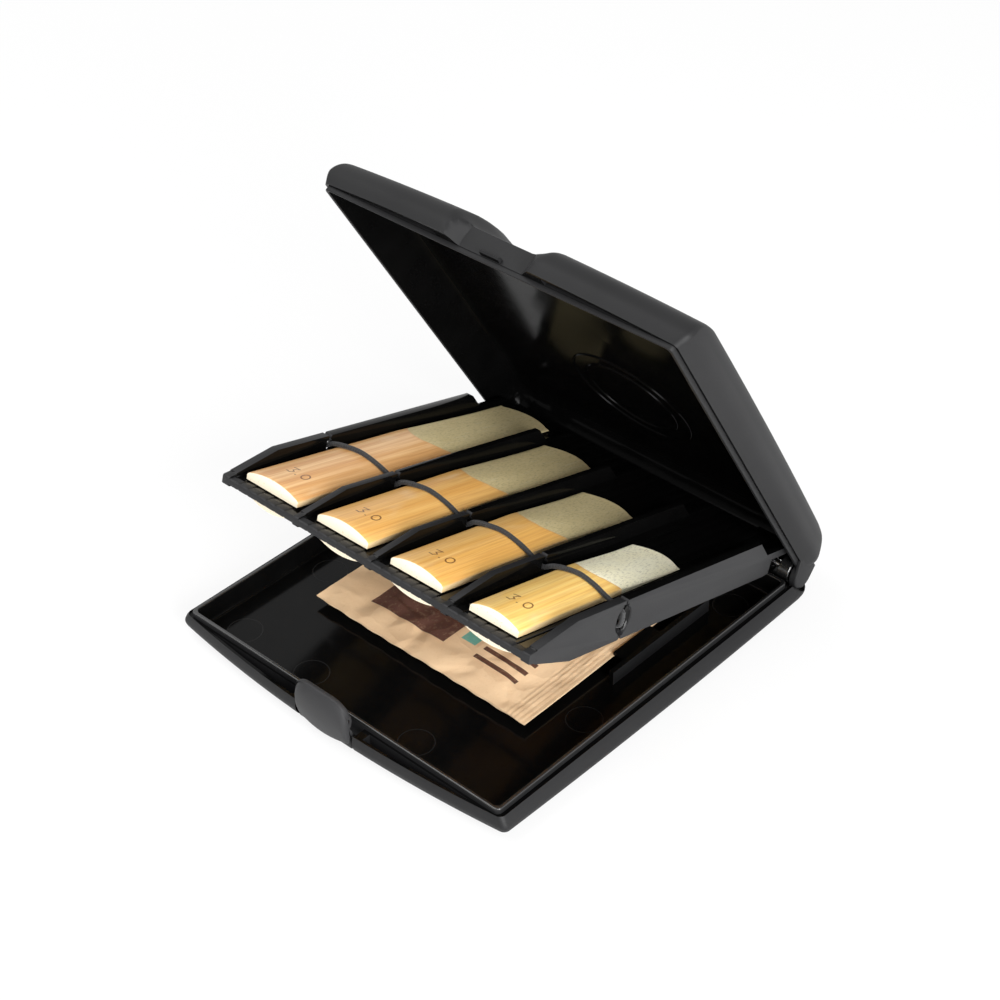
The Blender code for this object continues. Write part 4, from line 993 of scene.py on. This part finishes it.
# %% Reeds
REED_SIZES = metres(((15.3, 15.4, 85.0, 46.0), (14.3, 14.3, 77.4, 42.0),
                     (13.9, 14.3, 66.0, 37.5), (12.5, 12.7, 55.8, 31.0)))
TOP_REED_PLACES = metres(((-31.7, 0.0), (-10.7, -1.2), (10.2, -1.2), (31.0, -0.5)))
BOTTOM_REED_PLACES = metres(((-32.0, 0.4), (-10.9, 0.3), (9.9, 0.5), (30.3, 0.4)))
REED_LAYERS = (
    ("top", 1, list(zip(REED_SIZES, TOP_REED_PLACES))),
    ("bottom", -1, list(zip(reversed(REED_SIZES), BOTTOM_REED_PLACES))),
)
REED_FRONT = 90.0 * MM
REED_FLAT = 0.88 * MM
REED_HEIGHT, REED_EDGE = 2.95 * MM, 1.5 * MM
REED_TIP, REED_TIP_CROWN = 0.2 * MM, 2.2 * MM
TIP_NARROWING_SHARE = 0.12
VAMP_POWER = 1.35
EDGE_ROUND, EDGE_SHARE = 0.22 * MM, 1 / 12
ACROSS_STEPS, BARK_STEPS, VAMP_STEPS, TIP_STEPS = 28, 24, 40, 8


def reed_stations(length, bark):
    """Place along the reed, height at the middle, height at the edge and crown of the tip."""
    tip = length - REED_TIP_CROWN
    for inset in (0.0, 0.3, 1.0):
        drop = EDGE_ROUND * (1 - math.sqrt(1 - (1 - inset) ** 2))
        yield EDGE_ROUND * inset, REED_HEIGHT - drop, REED_EDGE - drop, 0.0
    for step in range(1, BARK_STEPS + 1):
        yield EDGE_ROUND + (bark - EDGE_ROUND) * step / BARK_STEPS, REED_HEIGHT, REED_EDGE, 0.0
    for step in range(1, VAMP_STEPS + 1):
        share = step / VAMP_STEPS
        left = (1 - share) ** VAMP_POWER
        yield (bark + (tip - bark) * share, REED_TIP + (REED_HEIGHT - REED_TIP) * left,
               REED_TIP + (REED_EDGE - REED_TIP) * left, 0.0)
    for step in range(1, TIP_STEPS + 1):
        share = step / TIP_STEPS
        yield tip + (REED_TIP_CROWN - REED_TIP) * share, REED_TIP, REED_TIP, REED_TIP_CROWN * share


def reed_rings(butt_width, tip_width, length, bark):
    for place, height, edge, crown in reed_stations(length, bark):
        along = min(place, length - REED_TIP_CROWN) / length
        half = (butt_width + (tip_width - butt_width) * along) / 2
        half *= math.sqrt(1 - TIP_NARROWING_SHARE * (crown / REED_TIP_CROWN) ** 2)
        over = []
        for step in range(ACROSS_STEPS + 1):
            across = -math.cos(math.pi * step / ACROSS_STEPS)
            beyond = max(0.0, 1 - (1 - abs(across)) / EDGE_SHARE)
            round_off = min(EDGE_ROUND, edge / 2) * beyond ** 2
            over.append((half * across, place - crown * across * across,
                         edge + (height - edge) * (1 - across * across) - round_off))
        yield over + [(x, y, 0.0) for x, y, _ in reversed(over)]


def make_reed(side, flip, number, sizes, place):
    """Loft a reed lying flat, note where its points lie, and lay it in its slot."""
    reed = loft(f"cane_{side}_{number}", list(reed_rings(*sizes)))
    own_place = reed.data.attributes.new("reed_place", "FLOAT_VECTOR", "POINT")
    for item, vertex in zip(own_place.data, reed.data.vertices):
        item.vector = vertex.co
    butt_x, lean = place
    local = Matrix.Translation((butt_x, -REED_FRONT, TRAY_MIDDLE + flip * REED_FLAT))
    local = local @ Matrix.Rotation(math.atan2(-lean, sizes[2]), 4, "Z")
    if flip < 0:
        local = local @ Matrix.Rotation(math.pi, 4, "Y")
    reed.data.transform(TRAY_FRAME @ local)
    smooth(reed, 40 * DEGREE)
    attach(reed, f"reed_{side}_{number}_body")
    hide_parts(f"reed_{side}_{number}")
    return reed


REEDS = [(side, flip, number, *reed) for side, flip, layer in REED_LAYERS
         for number, reed in enumerate(layer, start=1)]
reeds = [make_reed(*row) for row in REEDS]
print(len(reeds), "reeds,", sum(len(reed.data.polygons) for reed in reeds), "faces")

# %% [markdown]
# Cane shows three looks. The bark is waxy amber with long fibres and a soft shine. The vamp
# is dull, greyer, and flecked with short fibres. The sawn butt is pale cream with dark pores.
# The boundary between bark and vamp is a curve, earliest in the middle. A strength number is
# branded small on each bark: strokes of digits are drawn as distances to short lines.

# %% Cane
CANE_COLOURS = (
    ((220, 166, 104), (240, 198, 142), (196, 178, 128), (218, 202, 154)),
    ((236, 178, 96), (244, 194, 116), (196, 178, 128), (218, 200, 150)),
    ((238, 184, 100), (246, 200, 124), (200, 182, 132), (222, 206, 158)),
    ((250, 204, 112), (254, 218, 136), (255, 246, 206), (255, 253, 230)),
)
NUMBER_PLACE, NUMBER_HEIGHT, NUMBER_PEN = (0.0, 7.6 * MM), 2.6 * MM, 0.16 * MM
DIGIT_HALF_WIDTH, DIGIT_STEP = 0.3, 0.75
THREE = ((-1, 1), (1, 1), (0, 0.1), (1, -0.35), (0.3, -1), (-1, -0.8))


def stroke(x, y, start, end, half_width):
    """1 inside a straight pen stroke between two points, and 0 outside."""
    along = Vector(end) - Vector(start)
    length = along.length
    unit = along / length
    dx, dy = x - start[0], y - start[1]
    forward = dx * unit[0] + dy * unit[1]
    sideways = (dx * unit[1] - dy * unit[0]).absolute()
    beyond = (forward - length / 2).absolute() - length / 2
    return sideways.math("MAXIMUM", beyond).below(half_width)


def digit_marks(x, y, centre, height, pen):
    """The number 3.0 in plain strokes, read from the butt: it runs across the reed."""
    half, wide, level = height / 2, height * DIGIT_HALF_WIDTH, centre[1]
    left, right = (centre[0] + side * height * DIGIT_STEP for side in (LEFT, RIGHT))
    corners = [(left + wide * across, level + half * up) for across, up in THREE]
    dot = (centre[0], level - half)
    lines = [*zip(corners, corners[1:]), (dot, (dot[0] + pen / 2, dot[1]))]
    three, *others = [stroke(x, y, start, end, pen) for start, end in lines]
    ring_x, ring_y = (x - right) / (wide * 1.1), (y - level) / half
    radius = (ring_x * ring_x + ring_y * ring_y).math("SQRT")
    for mark in (*others, (radius - 0.9).absolute().below(pen / half * 1.3)):
        three = three.math("MAXIMUM", mark)
    return three


def cane_paint(name, bark_length, colours, seed):
    bark_low, bark_high, vamp_low, vamp_high = (tint(*colour) for colour in colours)
    paint = Paint(name, Specular_IOR_Level=0.5)
    place = paint.node("ShaderNodeAttribute", output="Vector", attribute_name="reed_place")
    x, y, z = paint.split(place)
    moved = paint.vector("ADD", place, (seed * 0.31, seed * 0.17, seed * 0.05))
    fibre = paint.noise(moved, (2600.0, 60.0, 2600.0), 4.0, 0.6)
    streak = paint.noise(moved, (700.0, 14.0, 300.0))
    fleck = paint.noise(moved, (3600.0, 900.0, 3600.0), 3.0, 0.7)
    mottle = paint.noise(moved, (220.0, 90.0, 220.0))
    pores = paint.noise(moved, (1900.0, 400.0, 1900.0), 2.0)

    edge = bark_length - 0.9 * MM + x * x * 75.0 + (mottle - 0.5) * (1.2 * MM)
    vamp = (y - edge).smoothly(-0.15 * MM, 0.15 * MM)
    butt = 1 - y.smoothly(0.02 * MM, 0.16 * MM)
    low = 1 - z.smoothly(1.0 * MM, 1.5 * MM)
    bark = paint.mix(streak.smoothly(0.32, 0.68), bark_low, bark_high)
    bark = paint.mix(fibre.smoothly(0.35, 0.7) * 0.34, bark, tint(196, 140, 84), "MULTIPLY")
    bark = paint.mix(mottle.smoothly(0.55, 0.8) * 0.35, bark, tint(240, 214, 174))
    planed = paint.mix(mottle, vamp_low, vamp_high)
    planed = paint.mix(fleck.smoothly(0.48, 0.68) * 0.42, planed, tint(124, 112, 80))
    planed = paint.mix(fibre.smoothly(0.5, 0.8) * 0.25, planed, tint(236, 230, 205))
    sawn = paint.mix(pores.smoothly(0.62, 0.72) * 0.7, tint(253, 240, 214), tint(214, 176, 120))
    border = (y - edge).absolute().below(0.35 * MM) * (1 - vamp) * 0.5
    colour = paint.mix(border, bark, tint(214, 150, 100))
    colour = paint.mix(vamp, colour, planed)
    colour = paint.mix(low * (1 - vamp) * 0.75, colour, tint(244, 218, 170))
    number = digit_marks(x, y, NUMBER_PLACE, NUMBER_HEIGHT, NUMBER_PEN)
    on_bark = z.above(REED_EDGE * 1.02) * (1 - vamp)
    colour = paint.mix(number * on_bark * 0.85, colour, tint(104, 62, 32))
    colour = paint.mix(butt, colour, sawn)
    gloss = (1 - vamp) * (1 - butt)
    height = fibre * 0.5 + fleck * (0.4 * vamp + 0.1) + pores * butt
    roughness = gloss * (0.32 + 0.12 * streak) + (1 - gloss) * 0.72
    return paint.coat(colour, roughness, height, 0.035 * MM, 0.45)


for reed, (side, flip, number, sizes, _) in zip(reeds, REEDS):
    colours = CANE_COLOURS[number - 1 if flip > 0 else -number]
    seed = number + 5 * (flip < 0)
    reed.data.materials.append(cane_paint(f"Cane {side} {number}", sizes[3], colours, seed))
print(len(reeds), "reeds painted")

# %% [markdown]
# The band is round elastic cord: rubber strands inside a woven black sleeve. It is held by
# the tray all the way round, so it is part of the frame. Its route is a closed smooth curve
# through given points. The sleeve repeats one thing, a thin strand that winds around
# the cord, and so it is a geometry node tree: it copies the route, winds each copy with its
# own start angle, half of them the other way round, and gives them a thickness.

# %% The elastic band
SLOT_PITCH = 21.0 * MM
SLOTS_HALF = 2 * SLOT_PITCH
DIVIDER, OUTER_WALL = 1.5 * MM, 2.0 * MM
SLIT_FLOOR, HOLLOW_DEPTH = 1.0 * MM, 1.1 * MM
BAND_STATION = 63.7 * MM
BAND_RADIUS, BAND_GAP = 0.55 * MM, 0.1 * MM
BAND_SHARES = (-1.08, -0.62, 0.0, 0.62, 1.08)
BAND_SMOOTH_STEPS = 12
SLEEVE_INPUTS = (
    ("Strands", "NodeSocketInt", 12),
    ("Turns", "NodeSocketInt", 150),
    ("Points", "NodeSocketInt", 1200),
    ("Core Radius", "NodeSocketFloat", BAND_RADIUS * 0.9),
    ("Strand Radius", "NodeSocketFloat", BAND_RADIUS * 0.12),
)


def band_side(layer):
    """The band's route from left to right over the reeds of one side of the tray."""
    over = BAND_RADIUS + BAND_GAP
    side_x = SLOTS_HALF - DIVIDER / 2 + OUTER_WALL - HOLLOW_DEPTH + over
    notch = SLIT_FLOOR + over
    route = [(-side_x, notch / 2), (BAND_RADIUS - side_x, notch)]
    for number, (sizes, place) in enumerate(layer):
        butt_width, tip_width, length, _ = sizes
        butt_x, lean = place
        along = (REED_FRONT - BAND_STATION) / length
        centre = butt_x + lean * along
        reed_half = (butt_width + (tip_width - butt_width) * along) / 2
        if number > 0:
            route.append((number * SLOT_PITCH - SLOTS_HALF, notch))
        for share in BAND_SHARES:
            rise = REED_EDGE + (REED_HEIGHT - REED_EDGE) * (1 - min(share * share, 1.0))
            route.append((centre + share * reed_half, REED_FLAT + rise + over))
    return route + [(side_x - BAND_RADIUS, notch), (side_x, notch / 2)]


def sleeve_tree(material):
    """The core of the cord, and the strands around it."""
    tree = bpy.data.node_groups.new("woven sleeve", "GeometryNodeTree")
    tree.interface.new_socket("Geometry", in_out="INPUT", socket_type="NodeSocketGeometry")
    tree.interface.new_socket("Geometry", in_out="OUTPUT", socket_type="NodeSocketGeometry")
    identifiers = {}
    for label, kind, _ in SLEEVE_INPUTS:
        socket = tree.interface.new_socket(label, in_out="INPUT", socket_type=kind)
        identifiers[label] = socket.identifier
    work = Nodes(tree)
    given = work.node("NodeGroupInput", output="Geometry")
    route = work.node("GeometryNodeMeshToCurve", {0: given})
    strand_count, turns, points, core_radius, strand_radius = (
        given.output(label) for label, _, _ in SLEEVE_INPUTS)

    def swept(curve, radius, resolution):
        circle = work.node("GeometryNodeCurvePrimitiveCircle",
                           {"Resolution": resolution, "Radius": radius})
        return work.node("GeometryNodeCurveToMesh", {0: curve, 1: circle})

    fine = work.node("GeometryNodeResampleCurve", {"Curve": route, "Count": points})
    copies = work.node("GeometryNodeDuplicateElements", {"Geometry": fine, "Amount": strand_count},
                       domain="SPLINE")
    numbered = work.node("GeometryNodeCaptureAttribute", {"Geometry": copies}, domain="POINT")
    capture = numbered.socket.node
    capture.capture_items.new("INT", "number")
    work.feed(capture.inputs["number"], copies.output("Duplicate Index"))
    number = numbered.output("number")
    way = number.math("MODULO", 2.0) * 2.0 - 1.0
    along = work.node("GeometryNodeSplineParameter", output="Factor")
    angle = along * (turns * (2 * math.pi)) * way + number * (2 * math.pi) / strand_count
    normal = work.node("GeometryNodeInputNormal")
    side = work.vector("CROSS_PRODUCT", work.node("GeometryNodeInputTangent"), normal)
    offset = work.vector("ADD", work.vector("SCALE", normal, angle.math("COSINE") * core_radius),
                         work.vector("SCALE", side, angle.math("SINE") * core_radius))
    moved = work.node("GeometryNodeSetPosition", {"Geometry": numbered, "Offset": offset})
    both = work.node("GeometryNodeJoinGeometry", {0: swept(moved, strand_radius, 4)})
    work.feed(both.socket.node.inputs[0], swept(route, core_radius, 16))
    real = work.node("GeometryNodeRealizeInstances", {0: both})
    dressed = work.node("GeometryNodeSetMaterial", {"Geometry": real, "Material": material})
    work.feed(tree.nodes.new("NodeGroupOutput").inputs[0], dressed)
    return tree, identifiers


def make_band(material):
    top, bottom = [band_side(layer) for _, _, layer in REED_LAYERS]
    points = closed_curve(top + [(x, -height) for x, height in reversed(bottom)], BAND_SMOOTH_STEPS)
    mesh = bpy.data.meshes.new("elastic_band")
    mesh.from_pydata([(x, -BAND_STATION, TRAY_MIDDLE + height) for x, height in points],
                     [(index, (index + 1) % len(points)) for index in range(len(points))], [])
    band = linked("elastic_band", mesh)
    change = band.modifiers.new("woven sleeve", "NODES")
    change.node_group, identifiers = sleeve_tree(material)
    for label, _, value in SLEEVE_INPUTS:
        change[identifiers[label]] = value
    settle(band)
    band.data.transform(TRAY_FRAME)
    band.data.shade_smooth()
    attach(band, "tray_body")
    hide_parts("reed_band")
    return band


def elastic_paint():
    paint = Paint("Woven elastic", Specular_IOR_Level=0.4, Sheen_Weight=0.25, Sheen_Roughness=0.5)
    lint = paint.noise(paint.place(TRAY_FRAME), 2600.0, 2.0, 0.6)
    colour = paint.mix(lint, tint(24, 24, 25), tint(44, 44, 46))
    return paint.coat(colour, 0.5 + 0.2 * lint, lint, 0.03 * MM, 0.4)


band = make_band(elastic_paint())
print("band of", len(band.data.polygons), "faces")

# %% [markdown]
# The humidity sachet is a small kraft paper pillow. Its ends are sealed flat, the left one
# wider, and the gel inside swells it up and down, so that its edge hovers above the floor.
# Creases with a fixed seed run over the paper: each is a short low ridge or valley. The print
# is plain: one dark block with a small teal corner and some bars.

# %% Humidity sachet
SACHET_CELLS = 170
SACHET_WIDTH, SACHET_DEPTH = 61.6 * MM, 65.0 * MM
SACHET_CENTRE_X, SACHET_FRONT_Y = -0.5 * MM, -23.2 * MM
SACHET_LOW, SACHET_MIDDLE, SACHET_HIGH = 2.16 * MM, 4.2 * MM, 5.74 * MM
SACHET_PAPER = 0.16 * MM
SWELL_UP, SWELL_DOWN, SWELL_REACH = 0.95 * MM, 1.8 * MM, 7 * MM
LEFT_SEAL, RIGHT_SEAL = 9.0 * MM, 5.5 * MM
SEAL_PITCH, SEAL_RIDGE = 1.15 * MM, 0.07 * MM
END_SWELL = (-1.0 * MM, 8.0 * MM)
WAVE_HEIGHT, WAVE_ACROSS, WAVE_ALONG = 0.16 * MM, 7 * MM, 11 * MM
RAGGED, RAGGED_SHARE = 0.1 * MM, 1 / 20
CREASES = 58
DARK_BLOCK, TEAL_BLOCK, BARS = metres(((-21, -16.5, 1, 14), (3, -13, 7, -9), (9, -17, 21, 10)))
BAR_PITCH = 3.2 * MM


def make_creases():
    """Short ridges and valleys: place, direction, half length, half width and height."""
    dice = random.Random(11)
    made = []
    for _ in range(CREASES):
        turn = dice.uniform(0, math.pi)
        made.append((dice.uniform(-0.5, 0.5) * SACHET_WIDTH, dice.uniform(0.0, 1.0) * SACHET_DEPTH,
                     math.cos(turn), math.sin(turn), dice.uniform(3, 13) * MM,
                     dice.uniform(0.7, 2.4) * MM,
                     dice.choice((-1, 1)) * dice.uniform(0.2, 0.6) * MM))
    return made


def sachet_height(x, y, creases, top):
    """Height of the top or the bottom paper at a place measured from the front's middle."""
    left, right = x + SACHET_WIDTH / 2, SACHET_WIDTH / 2 - x
    full = (softly(left, LEFT_SEAL, LEFT_SEAL + SWELL_REACH)
            * softly(right, RIGHT_SEAL, RIGHT_SEAL + SWELL_REACH)
            * softly(y, *END_SWELL) * softly(SACHET_DEPTH - y, *END_SWELL))
    wave = WAVE_HEIGHT * math.sin(x / WAVE_ACROSS + 0.4) * math.sin(y / WAVE_ALONG + 1.0)
    middle = SACHET_MIDDLE + wave
    if not top:
        return max(SACHET_LOW, middle - SACHET_PAPER - SWELL_DOWN * full)
    fold = 0.0
    for crease_x, crease_y, ahead_x, ahead_y, length, width, height in creases:
        dx, dy = x - crease_x, y - crease_y
        along = (dx * ahead_x + dy * ahead_y) / length
        across = abs(dx * ahead_y - dy * ahead_x) / width
        if across < 1 and abs(along) < 1:
            fold += height * (1 - across) * (1 - along * along)
    seal = math.sin(2 * math.pi * right / SEAL_PITCH) if right < RIGHT_SEAL else 0.0
    rise = middle + SACHET_PAPER + SWELL_UP * full + fold * (0.3 + 0.7 * full) + SEAL_RIDGE * seal
    return max(middle, min(SACHET_HIGH, rise))


def sachet_paper(work, creases, top):
    """One paper as square cells; gives back the points around its edge."""
    rows = []
    for row in range(SACHET_CELLS + 1):
        v = 2 * row / SACHET_CELLS - 1
        rows.append([])
        for column in range(SACHET_CELLS + 1):
            u = 2 * column / SACHET_CELLS - 1
            x, y = SACHET_WIDTH * u / 2, SACHET_DEPTH * (v + 1) / 2
            ragged = RAGGED * math.sin(31 * u) * max(0.0, 1 - (1 - abs(v)) / RAGGED_SHARE)
            rows[-1].append(work.verts.new((SACHET_CENTRE_X + x, SACHET_FRONT_Y + y + ragged,
                                            sachet_height(x, y, creases, top))))
    for near, far in zip(rows, rows[1:]):
        for index in range(SACHET_CELLS):
            work.faces.new((near[index], near[index + 1], far[index + 1], far[index]))
    return (rows[0] + [row[-1] for row in rows[1:]]
            + rows[-1][-2::-1] + [row[0] for row in rows[-2:0:-1]])


def make_sachet():
    work = bmesh.new()
    creases = make_creases()
    low, high = (sachet_paper(work, creases, top) for top in (False, True))
    for index in range(len(low)):
        after = (index + 1) % len(low)
        work.faces.new((low[index], low[after], high[after], high[index]))
    sachet = smooth(body("paper_sachet", work), 60 * DEGREE)
    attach(sachet, "sachet")
    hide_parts("humidity_sachet")
    return sachet


def block(x, y, left, front, right, rear):
    """1 inside an upright rectangle, and 0 outside."""
    wide = (x - (left + right) / 2).absolute().below((right - left) / 2)
    return wide * (y - (front + rear) / 2).absolute().below((rear - front) / 2)


def kraft_paint():
    paint = Paint("Kraft paper", Specular_IOR_Level=0.3)
    place = paint.place()
    x, y, _ = paint.split(place)
    pulp = paint.noise(place, 900.0, 5.0, 0.65)
    fibre = paint.noise(place, (4200.0, 900.0, 2000.0), 3.0, 0.6)
    bend = paint.vector("MULTIPLY", paint.noise(place, 90.0), (0.006, 0.006, 0.0))
    crumple = paint.node("ShaderNodeTexVoronoi", {"Vector": paint.vector("ADD", place, bend),
                                                  "Scale": 95.0}, "Distance",
                         feature="DISTANCE_TO_EDGE").smoothly(0.0, 0.35)
    paper = paint.mix(paint.noise(place, 110.0), tint(226, 192, 152), tint(238, 210, 172))
    paper = paint.mix(fibre.smoothly(0.58, 0.75) * 0.35, paper, tint(206, 166, 124))
    paper = paint.mix(pulp.smoothly(0.6, 0.8) * 0.3, paper, tint(232, 210, 180))
    stripes = (y * (2 * math.pi / BAR_PITCH)).math("SINE").above(0.35) * block(x, y, *BARS)
    worn = 1 - 0.25 * pulp.smoothly(0.5, 0.8)
    colour = paint.mix(block(x, y, *DARK_BLOCK) * worn, paper, tint(98, 66, 56))
    colour = paint.mix(block(x, y, *TEAL_BLOCK) * worn, colour, tint(112, 178, 165))
    colour = paint.mix(stripes * worn, colour, tint(92, 62, 50))
    return paint.coat(colour, 0.85, pulp * 0.2 + fibre * 0.12 + crumple, 0.45 * MM, 0.8)


sachet = make_sachet()
sachet.data.materials.append(kraft_paint())
print("sachet of", len(sachet.data.polygons), "faces")

# %% The end
print("the end")
